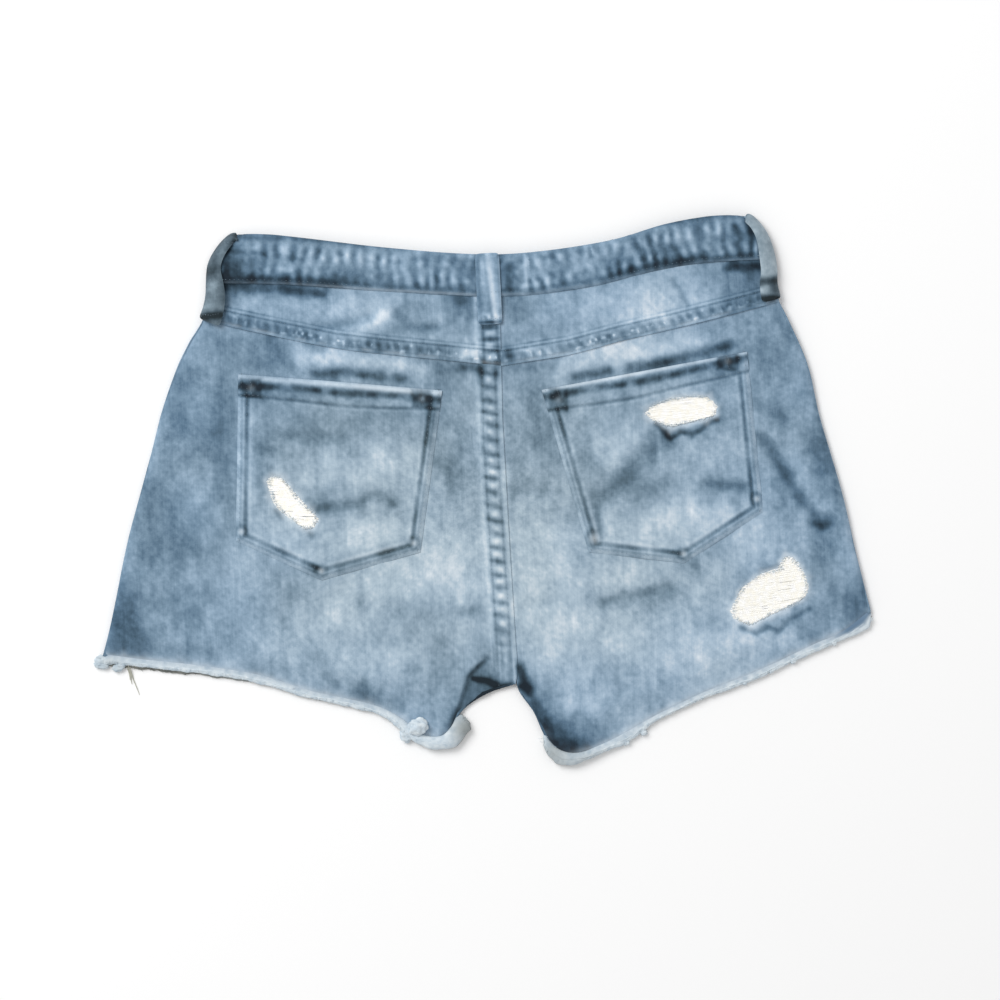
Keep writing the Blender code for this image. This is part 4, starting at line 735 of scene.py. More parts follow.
POCKET_MARKS = {
    "left": (
        (((-137, 51), (-96, 49)), 5, -0.5, -24),
        (((-116, -2), (-87, 0), (-73, 6), (-61, -2)), 4.3, -0.6, -34),
        (((-156, 43), (-148, 40)), 4.3, -0.3, -16), (((-124, -17), (-120, -21)), 2.9, -0.4, -36),
        (((-144, -3), (-141, -8)), 2.5, -0.3, -36), (((-111, -29), (-110, -40)), 3.6, -0.3, -18),
        (((-58, -10), (-51, -18)), 2.2, -0.3, -14), (((-31, 66), (-35, 43)), 3.8, -0.2, -28),
        (((-127, 26), (-62, 26)), 14.4, 0.4, 10)),
    "right": (
        (((86, -6), (100, 6), (116, 18), (132, 36)), 8.6, -0.7, -30),
        (((80, 8), (96, 20), (112, 34)), 6.5, 0.5, 14), (((165, 3), (193, -1)), 4.3, -0.5, -30),
        # The scalloped line under the rip is partly its worn rim's own dark and partly painted shadow.
        (((131, 48), (136, 42), (141, 36), (149, 40.5), (156, 38.8), (162, 40.6), (169, 46), (175, 48)),
         2.4, -0.5, -62),
        (((139, 37), (142, 31)), 2.9, -0.3, -40), (((85, -11), (87, -26)), 2.9, -0.4, -40),
        (((90, 38), (119, 43)), 13, 0.4, 10), (((130, -22), (174, -17)), 14.4, 0.4, 12))}

for half in ("left", "right"):
    def pocket_dress(x, y):
        lift, tone = washed_and_shaded(x, y, POCKET_TONE[half], POCKET_FADES[half], POCKET_MARKS[half], 51)
        across, down = off_line(POCKET_MOUTHS[half], x, y)
        down = -down
        turn = -off_line(POCKET_TURNS[half], x, y)[1] * (1 + 0.10 * uneven(across, 0, 9, 61))
        hem = -off_line(POCKET_HEMS[half], x, y)[1]
        along, edge = off_line(POCKET_SIDES[half], x, y)
        edge = np.abs(edge)
        body = ramp(hem, 0.9)
        mouth = 1 - body
        foot = hump(y, -44, 22)
        patchy = 0.85 + 0.45 * uneven(along, 0, 15, 64)
        bright = hump(x, -56 if half == "left" else 100, 44) + 0.25 * uneven(across, down, 8, 62)
        lip = hump(down, *MOUTH_LIP[half])
        wear = 0.50 * mouth * lip * (0.35 + 0.65 * np.clip(bright, 0, 1))
        wear += 0.34 * body * foot * hump(edge, 9.0, 1.2) * np.clip(0.6 + uneven(along, edge, 20, 63), 0, 1)
        broken = 0.45 * uneven(across, 0, 7, 69) + 0.2 * uneven(across, down, 3.5, 70)
        # Below the rubbed lip, painted shade along the turn where the cloth sinks in under the mouth's edge.
        tone += mouth * (0.10 * lip + 0.03 * hump(turn, 4.5, 1.6) + 0.07 * broken * hump(down, 2, 2.5)
                         - (0.85 + broken) * bands(turn, (0.25, 0.4, 2.7), (0.08, 1.5, 3.4)))
        tone += bands(hem, (0.05, 2, 1), (-0.12 - 0.06 * uneven(across, down, 13, 68), 0, 1.4))
        # Inside the sewn edges: pale rubbed bands, and painted shade in the groove beside the inner stitch
        # row.
        tone += body * (bands(edge, (0.05, 1.6, 1.1), (-0.07, 3.1, 0.9), (0.06, 4.4, 0.9), (0.06, 9.4, 1.4))
                        - (0.20 + 0.08 * foot) * hump(edge, 6.6, 1.7 + 0.7 * foot) * patchy)
        for cx, cy, wide, tall in POCKET_TACKS[half]:
            reach = np.maximum(abs(x - cx) / wide, abs(y - cy + 0.12 * (x - cx)) / tall)
            square, spot = ramp(1 - reach, 0.10), hump(np.hypot(x - cx, y - cy), 0, 2.4)
            tone += 0.09 * spot - 0.06 * hump(reach, 0.85, 0.2)
            tone -= square * (0.20 + 0.10 * uneven(x, y, 3.2, 65))
            wear = wear * (1 - 0.8 * square) + 0.10 * spot
        for shift, (cx, cy), (inset, large) in zip((-4, 0, 4), POCKET_SIDES[half][1:4], TOE_SPOTS[half]):
            toe = np.hypot(x - cx + shift, y - cy - inset)
            tone -= 0.14 * hump(toe, large + 2.2, 1.8)
            wear += 0.40 * hump(toe, 0, large)
        lift -= mouth * 0.35 * hump(turn, 0, 1.8) + 0.2 * hump(hem, 0, 0.9)
        lift += body * bands(edge, (-0.12, 3, 1), (-0.22, 6.5, 1.6), (0.15, 4.6, 1.4))
        rubbed = rubbed_rim("patch_pocket_" + half, x, y)
        return lift, tone + 0.08 * rubbed, np.clip(wear + 0.5 * rubbed, 0, 1)

    pocket = cloth("patch_pocket_" + half, "pocket_" + half, 1, POCKET_GRID, washed_denim, pocket_dress,
                   rips=1, edge=(1.5, 1.9))
    sheet_of(pocket, "pocket_" + half)


# ---- Waistband ----
# A doubled strip of denim sewn over the top of the yokes and fronts. Washing has left it darker
# than the legs, with two rows of pale patches where it puckers between its stitches.

BAND_GRID = 1.0
BAND_TONE = 0.50
PUCKER_ROWS = ((8.5, 8.4, 72), (22.5, 8.8, 75))     # height above the lower edge, pitch, seed
BAND_FADES = (
    (-90, 176, 34, 12, 0.1), (-150, 164, 36, 10, -0.2), (-176, 178, 14, 20, -0.19),
    (-100, 170, 18, 9, -0.07), (-105, 161, 26, 6, -0.15), (-60, 158, 24, 6, -0.06), (50, 156, 20, 10, 0.07),
    (95, 178, 26, 8, 0), (-120, 181, 12, 7, 0.05), (88, 162, 16, 8, 0.12), (118, 160, 26, 7, -0.2),
    (156, 165, 22, 7, -0.16), (195, 178, 16, 16, -0.08), (-5, 160, 8, 14, -0.07), (29, 158, 7, 11, -0.18),
    (150, 184, 24, 8, 0.04), (-175, 176, 5, 14, -0.14), (206, 180, 6, 15, -0.2))
BAND_MARKS = (
    (((-170, 186), (-140, 182), (-118, 177)), 2.4, -0.2, -28), (((-136, 171), (-126, 170)), 3, 0.2, 44),
    (((42, 173), (43, 148)), 1.6, 0.2, 26), (((-46, 176), (-46, 160)), 2.6, 0.2, 24))


def band_dress(x, y):
    lift, tone = washed_and_shaded(x, y, BAND_TONE, BAND_FADES, BAND_MARKS, 71)
    along, up = off_line(BAND_LOW, x, y)
    for centre, pitch, seed in PUCKER_ROWS:
        place = along + 2.4 * uneven(along, up, 15, seed)
        level = centre + 2.2 * uneven(along, 0, 10, seed + 1)
        patch = np.cos(2 * math.pi * place / pitch) * (0.8 + 0.6 * uneven(along, 0, 20, seed + 2))
        patch = (patch + 0.9 * uneven(along, up, 5.0, seed + 30)) * hump(up, level, 5.8)
        tone += 0.115 * patch + 0.025 * hump(up, level, 5)
        lift += 0.28 * patch
    tone += 0.05 * uneven(along, up, 7.5, 79) + 0.03 * uneven(along, up, 3.2, 80) + 0.03 * hump(up, 0.6, 0.9)
    # Darker just above the lower edge, and painted shade along the folded top edge.
    tone -= 0.14 * hump(up, 3.6, 2.4) * (0.8 + 0.5 * uneven(along, up, 8, 78)) + 0.16 * ramp(up - 31.4, 0.6)
    lift -= bands(up, (0.25, 2.8, 0.7), (0.25, 29.5, 0.7), (0.15, 16, 2.5))
    return lift, tone, 0.20 * hump(up, 0.6, 0.9) * np.clip(hump(x, -50, 60) + 0.25, 0, 1)


band_denim = denim("twice washed waistband denim", FADED_BLUES, DEEP_BLUES, streaks=0.6)

waistband = cloth("waistband_back_denim", "waistband_back", 1, BAND_GRID, band_denim, band_dress, wall=2.4)
sheet_of(waistband, "waistband_back")


# ---- Belt loops ----
# Narrow strips of denim folded in three, bar-tacked at both ends. The centre one lies flat over
# the band, and the two at the sides are seen almost edge on where the waist turns over.

LOOP_GRID = 0.8
LOOP_GREYS = (
    (0.12, "1E292E"), (0.25, "36454E"), (0.35, "4E5E69"), (0.45, "677883"), (0.55, "81939F"),
    (0.65, "9BACB7"), (0.75, "B6C5CE"), (0.95, "E7EDF0"))
loop_denim = denim("folded loop denim", DEEP_BLUES, DEEP_BLUES, streaks=0.5)
rubbed_loop_denim = denim("rubbed grey loop denim", LOOP_GREYS, LOOP_GREYS, streaks=0.5)
LEFT_LOOP = (
    ((-189, 171, 9, 6, -0.16), (-183, 161, 4, 6, 0.16), (-184, 146, 9, 4, 0.08), (-166, 195, 7, 7, -0.10),
     (-192, 178, 4, 14, 0.05), (-181, 176, 4, 16, -0.10)),
    ((((-192, 144), (-180, 145)), 1.4, -0.2, -14), (((-194, 139.6), (-178, 140.2)), 2.8, -0.3, -88),
     (((-183, 187), (-176, 193)), 1.6, -0.1, -20)))
RIGHT_LOOP = (
    ((218, 180, 8, 14, 0.03), (201, 199, 6, 7, -0.18), (221, 139.5, 4.5, 6, -0.36), (212.5, 140, 3, 5, 0.05)),
    ((((210, 145.5), (224, 146.5)), 3.4, -0.4, -84), (((207, 134), (226, 132)), 3.2, -0.4, -120)))


def centre_loop_dress(x, y):
    lift, tone = washed_and_shaded(x, y, 0.60, (), (), 81)
    across = x - 15.0
    slant = across - 0.085 * (168 - y)
    # Painted shade down both sides of the loop; its paler slanting stripe is partly rubbed and partly painted
    # highlight.
    tone += bands(slant, (0.14, 1, 2.4), (-0.06, -2, 1.2)) - bands(across, (0.10, -6.8, 2), (0.06, 6.8, 2))
    tone += bands(across, (0.08 * hump(y, 160, 22), -4, 2.4), (-0.34 * hump(y, 126, 1.3), 0, 8))
    tone += (0.12 + 0.16 * uneven(x, y, 2.4, 83)) * hump(y, 129.6, 2.4)
    lift += 0.3 * hump(across, 0, 3) - 0.2 * hump(abs(across), 5.6, 0.6) - 0.35 * hump(y, 128, 1.6)
    return lift, tone, 0.20 * hump(slant, 0.8, 1.8) * (0.6 + 0.4 * uneven(x, y, 9, 82))


def plainly(tone, tables, seed):
    """A dress of fades and marks alone."""
    return lambda x, y: (*washed_and_shaded(x, y, tone, *tables, seed), np.zeros(x.shape))


for node, finish, loop_dress, length in (
        ("belt_loop_centre", loop_denim, centre_loop_dress, 0.062),
        ("belt_loop_side_left", rubbed_loop_denim, plainly(0.42, LEFT_LOOP, 84), 0.075),
        ("belt_loop_side_right", rubbed_loop_denim, plainly(0.60, RIGHT_LOOP, 87), 0.075)):
    loop = cloth(node + "_denim", node, 1, LOOP_GRID, finish, loop_dress, wall=1.3, blunt=14)
    sheet_of(loop, node)


# ---- Fronts, front waistband and its loops ----
# The side that lies on the floor: two plain panels that meet at the fly, the two halves of the
# waistband and two more loops. They rest flat, with soft creases of their own.

FRONT_GRID = 2.4
FRONT_TONE = 0.56
FLY_X = 14.0
FRONT_FADES = (
    (-120, -20, 60, 70, 0.12), (140, -20, 60, 70, 0.12), (-245, -40, 26, 90, -0.05),
    (250, -40, 26, 90, -0.05), (-100, 90, 50, 26, -0.04), (130, 90, 50, 26, -0.04))
FRONT_MARKS = (
    (((0, 60), (-40, 66), (-80, 82)), 6, -0.15, -20), (((-10, 20), (-60, 18), (-120, 30)), 8, -0.15, -18),
    (((30, 60), (70, 66), (112, 80)), 6, -0.15, -20), (((36, 20), (90, 16), (150, 30)), 8, -0.15, -18),
    (((-10, -30), (-60, -46), (-110, -50)), 7, -0.12, -16),
    (((40, -30), (90, -44), (140, -50)), 7, -0.12, -16))
FRONT_INSEAMS = (((24, -137), (34, -152), (41, -180)), ((-20, -160), (-8, -146), (4, -139)))


def front_dress(x, y):
    lift, tone = washed_and_shaded(x, y, FRONT_TONE, FRONT_FADES, FRONT_MARKS, 91)
    tone += bands(np.abs(x - FLY_X), (-0.12, 0.5, 1.4), (0.05, 6, 3))
    # Painted shade on the crotch where it shows in the notch, and along both inseams.
    tone -= 0.45 * hump(y, -142, 9) * hump(x, 0, 30)
    for inseam in FRONT_INSEAMS:
        tone -= 0.22 * near_line(inseam, x, y, 6)
    return np.minimum(0.25 * lift, 0), tone, np.zeros(x.shape)


def plain_band_dress(x, y):
    lift, tone = washed_and_shaded(x, y, BAND_TONE, (), (), 95)
    tone += 0.06 * np.cos(2 * math.pi * (x + 2 * uneven(x, y, 12, 96)) / 7)
    return np.minimum(0.25 * lift, 0), tone, np.zeros(x.shape)


for half in ("left", "right"):
    for name, node, grid, material, slot, dressing, flat, area, wall in (
            ("leg_front_%s", "front_", FRONT_GRID, washed_denim, "denim_front", front_dress,
             (0.30, 0.29), 0.060, 1.3),
            ("waistband_front_%s_denim", "waistband_front_", 1.6, band_denim, "denim_band",
             plain_band_dress, (0.21, 0.075), 0.0073, 2.2),
            ("belt_loop_front_%s_denim", "belt_loop_front_", 1.2, loop_denim, "denim_loop",
             plain_band_dress, (0.014, 0.055), 0.0005, 1.3)):
        piece = cloth(name % half, node + half, -1, grid, material, dressing, wall=wall)
        sheet_of(piece, node + half)


# ---- Stitching ----
# Lockstitch in grey-blue topstitching thread 0.5 mm thick, about 3 mm a stitch, sunk a little
# into the cloth: two rows on every felled seam, on the pockets' edges and on their hems, one along
# each edge of the waistband, and close zigzags for the bar-tacks.

STITCH_PITCH = 3.1
STITCH_SHARE = 0.78
THREAD_RADIUS = 0.22
STITCH_SINK = 0.16
ROW_STEP = 1.0
LOOP_TACKS = ((7.5, 22.5, 127.6, 1.0), (-192.5, -179.5, 140.3, 0.8), (211.5, 224.5, 137.0, 0.8))


def group_tree(name, **sockets):
    """A Geometry Nodes tree with its named inputs, each a socket type and a default."""
    tree = bpy.data.node_groups.new(name, "GeometryNodeTree")
    tree.interface.new_socket("Geometry", in_out="INPUT", socket_type="NodeSocketGeometry")
    for label, (kind, default) in sockets.items():
        socket = tree.interface.new_socket(label, in_out="INPUT", socket_type="NodeSocket" + kind)
        if default is not None:
            socket.default_value = default
    tree.interface.new_socket("Geometry", in_out="OUTPUT", socket_type="NodeSocketGeometry")
    return tree, tree.nodes.new("NodeGroupInput").outputs


def close_tree(tree, result, material):
    """Ends a tree in real geometry with its material."""
    real = add(tree, "GeometryNodeRealizeInstances", {"Geometry": result})
    done = add(tree, "GeometryNodeSetMaterial", {"Geometry": real, "Material": material})
    add(tree, "NodeGroupOutput", {"Geometry": done}, None)
    return tree


def grown(name, seed_mesh, tree, **values):
    """Runs a Geometry Nodes tree on a mesh and keeps what it makes as a plain piece."""
    holder = shown(name + "_seed", seed_mesh)
    modifier = holder.modifiers.new("grow", "NODES")
    modifier.node_group = tree
    for item in tree.interface.items_tree:
        if item.item_type == "SOCKET" and item.in_out == "INPUT" and item.name in values:
            modifier[item.identifier] = values[item.name]
    mesh = bpy.data.meshes.new_from_object(holder.evaluated_get(bpy.context.evaluated_depsgraph_get()))
    mesh.name = name
    bpy.data.objects.remove(holder)
    return shown(name, mesh)


def stitch_tree():
    """Lays bent stitches end to end along each row."""
    tree, given = group_tree("lockstitch", Pitch=("Float", 3.0 * MM), Share=("Float", 0.8),
                             Thread=("Float", 0.25 * MM), Material=("Material", None))
    rows = add(tree, "GeometryNodeMeshToCurve", {"Mesh": given["Geometry"]})
    spots = add(tree, "GeometryNodeCurveToPoints", {"Curve": rows, "Length": given["Pitch"]}, None,
                mode="LENGTH")
    length = add(tree, "ShaderNodeMath", {0: given["Pitch"], 1: given["Share"]}, operation="MULTIPLY")
    half, back, sunk, proud = (
        add(tree, "ShaderNodeMath", {0: size, 1: share}, operation="MULTIPLY")
        for size, share in ((length, 0.5), (length, -0.5), (given["Thread"], -1.4), (given["Thread"], 1.6)))
    start, middle, end = (add(tree, "ShaderNodeCombineXYZ", {"X": x, "Z": z})
                          for x, z in ((back, sunk), (0.0, proud), (half, sunk)))
    arc = add(tree, "GeometryNodeCurveQuadraticBezier", {
        "Resolution": 4, "Start": start, "Middle": middle, "End": end})
    ring = add(tree, "GeometryNodeCurvePrimitiveCircle", {"Resolution": 5, "Radius": given["Thread"]})
    stitch = add(tree, "GeometryNodeCurveToMesh", {"Curve": arc, "Profile Curve": ring, "Fill Caps": True})
    turn = add(tree, "FunctionNodeAlignRotationToVector", {"Vector": spots.outputs["Tangent"]},
               axis="X", pivot_axis="AUTO")
    sewn = add(tree, "GeometryNodeInstanceOnPoints", {
        "Points": spots.outputs["Points"], "Instance": stitch, "Rotation": turn})
    return close_tree(tree, sewn, given["Material"])


def thread_material(name, light, dark, patch):
    """Spun cotton thread: matt and slightly uneven along its length, like the plies in it, mixed
    towards grey by its piece's greying field, which on the frays sets how grey their painted shade is,
    and blue where it is still dyed."""
    material, tree, place = finish_with(name, Roughness=0.85, Sheen_Weight=0.1)
    plies = add(tree, "ShaderNodeTexNoise", {"Vector": place, "Scale": 1 / (patch * MM), "Detail": 3.0})
    spread = add(tree, "ShaderNodeMapRange", {"Value": plies, "From Min": 0.3, "From Max": 0.7})
    made = add(tree, "ShaderNodeMix", {"Factor": spread, 6: colour(dark), 7: colour(light)}, 2,
               data_type="RGBA")
    for field, hue in (("greyed", "8D9494"), ("dyed", "5F7992")):
        share = add(tree, "ShaderNodeAttribute", out="Fac", attribute_name=field)
        made = add(tree, "ShaderNodeMix", {"Factor": share, 6: made, 7: colour(hue)}, 2, data_type="RGBA")
    fine = add(tree, "ShaderNodeTexNoise", {"Vector": place, "Scale": 2500.0, "Detail": 1.0})
    return surfaced(material, made, fine, 0.4, 0.1)


def points_of(mesh):
    """A mesh's points as rows of x, y, z in metres."""
    flat = np.empty(len(mesh.vertices) * 3, np.float32)
    mesh.vertices.foreach_get("co", flat)
    return flat.reshape(-1, 3)


def surface_of(*pieces):
    """What a thread is dropped on: the tops of these pieces, in mm."""
    points, faces = [], []
    for mesh in (bpy.data.objects[piece].data for piece in pieces):
        shift = len(points)
        points += (points_of(mesh) / MM).tolist()
        faces += [[v + shift for v in p.vertices] for p in mesh.polygons]
    return BVHTree.FromPolygons(points, faces)


def dropped(tree, line, raised=0.0):
    """A line of x, y laid on a surface, with None where it misses."""
    hits = ((x, y, tree.ray_cast(Vector((x, y, 100)), Vector((0, 0, -1)))[0]) for x, y in line)
    return [None if hit is None else (x, y, hit.z + raised) for x, y, hit in hits]


def even_line(line, step):
    """Points a step apart along a smooth curve through the given ones."""
    line = np.array(line, float)
    place = np.append(0, np.cumsum(np.hypot(*np.diff(line[:, :2], axis=0).T)))
    slope = np.gradient(line, place, axis=0)
    at = np.linspace(0, place[-1], max(2, int(place[-1] / step) + 1))
    seat = np.clip(np.searchsorted(place, at, side="right") - 1, 0, len(place) - 2)
    size = (place[seat + 1] - place[seat])[:, None]
    return between((at - place[seat])[:, None] / size, line[seat], size * slope[seat], line[seat + 1],
                   size * slope[seat + 1])


def beside(line, distance, step):
    """A line moved to its left by a distance, once it is evened out."""
    line = even_line(line, step)
    return line + distance * leftward(np.gradient(line, axis=0))


def line_mesh(name, lines, fields=None):
    """Open polylines in mm as a mesh of edges; None in a line breaks it."""
    points, edges = [], []
    for line in lines:
        for before, point in zip([None, *line], line):
            if point is not None:
                points.append([c * MM for c in point])
                if before is not None:
                    edges.append((len(points) - 2, len(points) - 1))
    return new_mesh(name, points, edges, [], fields)


def inset_corners(corners, distance):
    """Sides of an open polygon moved to its left, each as its own straight row."""
    moved = []
    for a, b in zip(np.array(corners[:-1], float), np.array(corners[1:], float)):
        along = (b - a) / np.hypot(*(b - a))
        off = distance * np.array((-along[1], along[0]))
        moved.append((a + off, b + off))
    turns = [crossing(first, second) for first, second in zip(moved, moved[1:])]
    return zip([moved[0][0], *turns], [*turns, moved[-1][1]])


def crossing(first, second):
    (a, b), (c, d) = first, second
    u, v = b - a, d - c
    return a + ((c - a)[0] * v[1] - (c - a)[1] * v[0]) / (u[0] * v[1] - u[1] * v[0]) * u


sewing_thread = thread_material("grey blue topstitching cotton", "8496A4", "52636F", 6.0)
lockstitch = stitch_tree()
rows_on = {
    "sewn_seat": [even_line(beside(edge, distance, 4.0), ROW_STEP) for edge, distances in (
        (YOKE_EDGES["left"], (1.9, 10.4)), (YOKE_EDGES["right"], (1.9, 10.4)), (CENTRE_LINE, (-4.9, 4.9)))
        for distance in distances],
    "sewn_pockets": [],
    "sewn_band": [even_line(beside(BAND_LOW, distance, 5.0), ROW_STEP) for distance in (2.6, 29.0)]}
for half in ("left", "right"):
    lines = [side for distance in (2.2, 6.3) for side in inset_corners(POCKET_SIDES[half], distance)]
    lines.append(beside(POCKET_HEMS[half], 0.9, 4.0)[1:-1])
    rows_on["sewn_pockets"] += [even_line(line, ROW_STEP) for line in lines]
    for cx, cy, wide, tall in POCKET_TACKS[half]:
        zigzag = [(cx + 1.4 * (i % 2) - 0.7, cy + tall - 1 - 0.5 * i) for i in range(int(4 * tall) - 4)]
        rows_on["sewn_pockets"].append(even_line(zigzag, 0.7))
for start, end, y, reach in LOOP_TACKS:
    count = int(abs(end - start) / 0.5)
    rows_on["sewn_band"].append([(start + (end - start) * i / count, y + reach * (i % 2))
                                 for i in range(count)])

for name, slot, carriers in (
        ("sewn_seat", "denim_seat", ("leg_back_left", "leg_back_right", "yoke_left_denim",
                                     "yoke_right_denim")),
        ("sewn_pockets", "denim_seat", ("patch_pocket_left", "patch_pocket_right")),
        ("sewn_band", "denim_band", ("waistband_back_denim", "belt_loop_centre_denim",
                                     "belt_loop_side_left_denim", "belt_loop_side_right_denim"))):
    under = surface_of(*carriers)
    seeds = line_mesh(name, [dropped(under, row, raised=-STITCH_SINK) for row in rows_on[name]])
    sewn = grown(name, seeds, lockstitch, Pitch=STITCH_PITCH * MM, Share=STITCH_SHARE,
                 Thread=THREAD_RADIUS * MM, Material=sewing_thread)
    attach(sewn, "root")


# ---- Frayed hems ----
# The legs are cut off raw. Washing has matted the cut edge into a soft white roll of loose weft
# and warp ends 5 to 7 mm wide; the lower layer's roll, seen as a line beside it, is dark grey
# brown with painted shade. The corners by the inseam have curled up into thick rolls, greyed in
# places with painted shade, and a few knots and one loose thread hang on.

HEM_TOP = {"back": 3.9, "front": 1.7}
HEM_BASE = {"back": 1.5, "front": 0.15}
ROLL_RISE = 3.6
FRAY_TUCK = 1.0                 # how far the roll reaches in under the cloth
CORE_SIDES = 16
FRAY_REACH = {"back": 0.84, "front": 0.97}    # share of the hem's width that each roll takes
REACH_STEPS = {                 # sign, start, loss: the share is less where sign times x is above start
    "back": ((-1, 170, 0.12),), "front": ((1, 60, 0.10), (1, 180, 0.10), (1, -215, 0.10))}
STRANDS = {"back": 2.4, "front": 0.8}         # loose ends for each mm of hem
WEFT_LINES = 4                  # long threads that run along the roll
FRAY_KNOTS = (                  # x, y, half sizes across and up the garment, height of the lump's middle
    (-277, -104.2, 4.4, 3.4, 2), (-278.6, -107, 3.2, 2.8, 2), (-275.4, -108.6, 4, 2.2, 2),
    (-273, -105, 4, 3.6, 2), (-265.4, -110.4, 3.6, 2.6, 2), (-262.8, -108.6, 3.8, 2.2, 2),
    (-50.6, -162.7, 6.8, 6.2, 6.8), (-59.5, -168, 4.6, 5, 3), (-58.8, -172, 2.4, 2.4, 2),
    (99.1, -181, 2.6, 2.4, 2), (111.7, -174.6, 2.4, 2.2, 2), (186, -142, 2, 2, 2),
    (205.5, -134.5, 1.8, 2, 2), (221.5, -128.2, 2.2, 2, 2), (252, -116.2, 2.2, 2.2, 2))
LOOSE_THREAD = (
    ((-257.5, -108, 3.4), (-256.6, -112, 2.4), (-255.6, -116, 0.9), (-254.2, -120, 0.5), (-252, -126, 0.4),
     (-250.6, -130.5, 0.4)),
    ((-257.8, -110, 2.4), (-256.9, -114, 1.1), (-256.2, -118, 0.5), (-255.7, -122.5, 0.4)),
    ((-256.2, -110, 2.6), (-255.5, -114, 1.2), (-254.6, -118, 0.6), (-253.8, -121.5, 0.5)),
    ((-258.6, -110, 2), (-257.6, -113, 1), (-256.9, -117, 0.5), (-256.8, -119.5, 0.4)))
ROLL_SHADE = (                      # share, x, y, radius and stretch of the places of the back's rolls greyed as painted shade
    (0.95, -16, -165, 11, 1), (0.60, 45, -186, 10, 1), (0.30, 64, -191, 9, 2), (0.25, -271, -107, 12, 1))


def tube_faces(rings, sides):
    """The sides and both ends of a tube whose points go round ring after ring."""
    faces = [(a, a + sides, b + sides, b) for i in range(rings - 1)
             for a, b in ((i * sides + k, i * sides + (k + 1) % sides) for k in range(sides))]
    return faces + [tuple(range(sides)), tuple(range((rings - 1) * sides, rings * sides))[::-1]]


strand_shapes = bpy.data.collections.new("strand_shapes")
for i, (rise, swing) in enumerate(((-5.0, 2.0), (-8.0, -4.0), (3.0, 5.0), (-3.0, -7.0), (5.0, 0.0))):
    # a limp thread end one unit long, one unit in radius and bent by some radii, to be scaled
    points = [(t, thick * math.cos(a) + swing * math.sin(math.pi * t), thick * math.sin(a) + rise * t * t)
              for t, thick in ((0, 1.0), (0.25, 1.0), (0.5, 0.9), (0.75, 0.75), (1, 0.35))
              for a in (0.5 * math.pi * k for k in range(4))]
    strand = new_mesh("strand_%d" % i, points, [], tube_faces(5, 4))
    strand_shapes.objects.link(bpy.data.objects.new("strand_%d" % i, strand))


def scatter_tree():
    """Sets one of the strand shapes on each point, turned and sized by the point's own fields."""
    tree, given = group_tree("loose ends", Shapes=("Collection", None), Seed=("Int", 1),
                             Material=("Material", None))
    shapes = add(tree, "GeometryNodeCollectionInfo", {
        "Collection": given["Shapes"], "Separate Children": True, "Reset Children": True})
    turn, size = (add(tree, "GeometryNodeInputNamedAttribute", {"Name": field}, data_type="FLOAT_VECTOR")
                  for field in ("turn", "size"))
    pick = add(tree, "FunctionNodeRandomValue", {4: 0, 5: 4, "Seed": given["Seed"]}, 2, data_type="INT")
    turned = add(tree, "FunctionNodeEulerToRotation", {"Euler": turn})
    spread = add(tree, "GeometryNodeInstanceOnPoints", {
        "Points": given["Geometry"], "Instance": shapes, "Pick Instance": True, "Instance Index": pick,
        "Rotation": turned, "Scale": size})
    return close_tree(tree, spread, given["Material"])


def spun_tree():
    """A round thread along every line, thinner towards its ends by the points' own radius."""
    tree, given = group_tree("spun thread", Sides=("Int", 5), Material=("Material", None))
    lines = add(tree, "GeometryNodeMeshToCurve", {"Mesh": given["Geometry"]})
    thick = add(tree, "GeometryNodeInputNamedAttribute", {"Name": "thick"}, data_type="FLOAT")
    ring = add(tree, "GeometryNodeCurvePrimitiveCircle", {"Resolution": given["Sides"], "Radius": 1.0})
    tube = add(tree, "GeometryNodeCurveToMesh", {
        "Curve": lines, "Profile Curve": ring, "Scale": thick, "Fill Caps": True})
    return close_tree(tree, add(tree, "GeometryNodeSetShadeSmooth", {"Geometry": tube}), given["Material"])


loose_ends, spun_thread = scatter_tree(), spun_tree()


def scattered(name, ends, material, seed):
    """Thread ends, each a root in mm, a heading, a length and a radius in mm."""
    rng = np.random.default_rng(seed)
    turns, sizes = [], []
    for root, heading, length, radius in ends:
        spin = Vector(heading).to_track_quat("X", "Z").to_euler()
        spin.rotate_axis("X", rng.uniform(0, 2 * math.pi))
        turns.append(tuple(spin))
        sizes.append((length * MM, radius * MM, radius * MM))
    mesh = new_mesh(name, np.array([end[0] for end in ends]) * MM, [], [], {"turn": turns, "size": sizes})
    return grown(name, mesh, loose_ends, Shapes=strand_shapes, Seed=seed, Material=material)


def swung(heading, turn):
    """A flat direction turned by an angle, and the angle's cosine."""
    c, d = math.cos(turn), math.sin(turn)
    return heading @ np.array(((c, d), (-d, c))), c


def threads(name, lines, radius, material, sides=5):
    """Spun threads along lines of x, y, z in mm, tapered at both ends."""
    thick = [radius * MM * min(1.0, 0.45 + 0.25 * min(i, len(line) - 1 - i)) for line in lines
             for i in range(len(line))]
    return grown(name, line_mesh(name, lines, {"thick": thick}), spun_thread, Sides=sides, Material=material)


def knots(name, places, material):
    """Lumps of matted fray: flattened balls that rest on the floor, with uneven surfaces."""
    points, faces = [], []
    for n, (x, y, wide, tall, level) in enumerate(places):
        ball = bmesh.new()
        bmesh.ops.create_icosphere(ball, subdivisions=4, radius=1)
        shift = len(points)
        for v in ball.verts:
            bulge = noise.noise(v.co * 1.7 + Vector((7 * n, 0, 0))) * 0.35
            bulge += noise.noise(v.co * 5 + Vector((0, 9 * n, 0))) * 0.10
            size = v.co * (1 + bulge)
            high = max(0.1, level + min(0.95 * level, 4.2) * size.z)
            points.append((x + wide * size.x, y + tall * size.y, high))
        faces += [[v.index + shift for v in f.verts] for f in ball.faces]
        ball.free()
    return new_piece(name, points, faces, material)


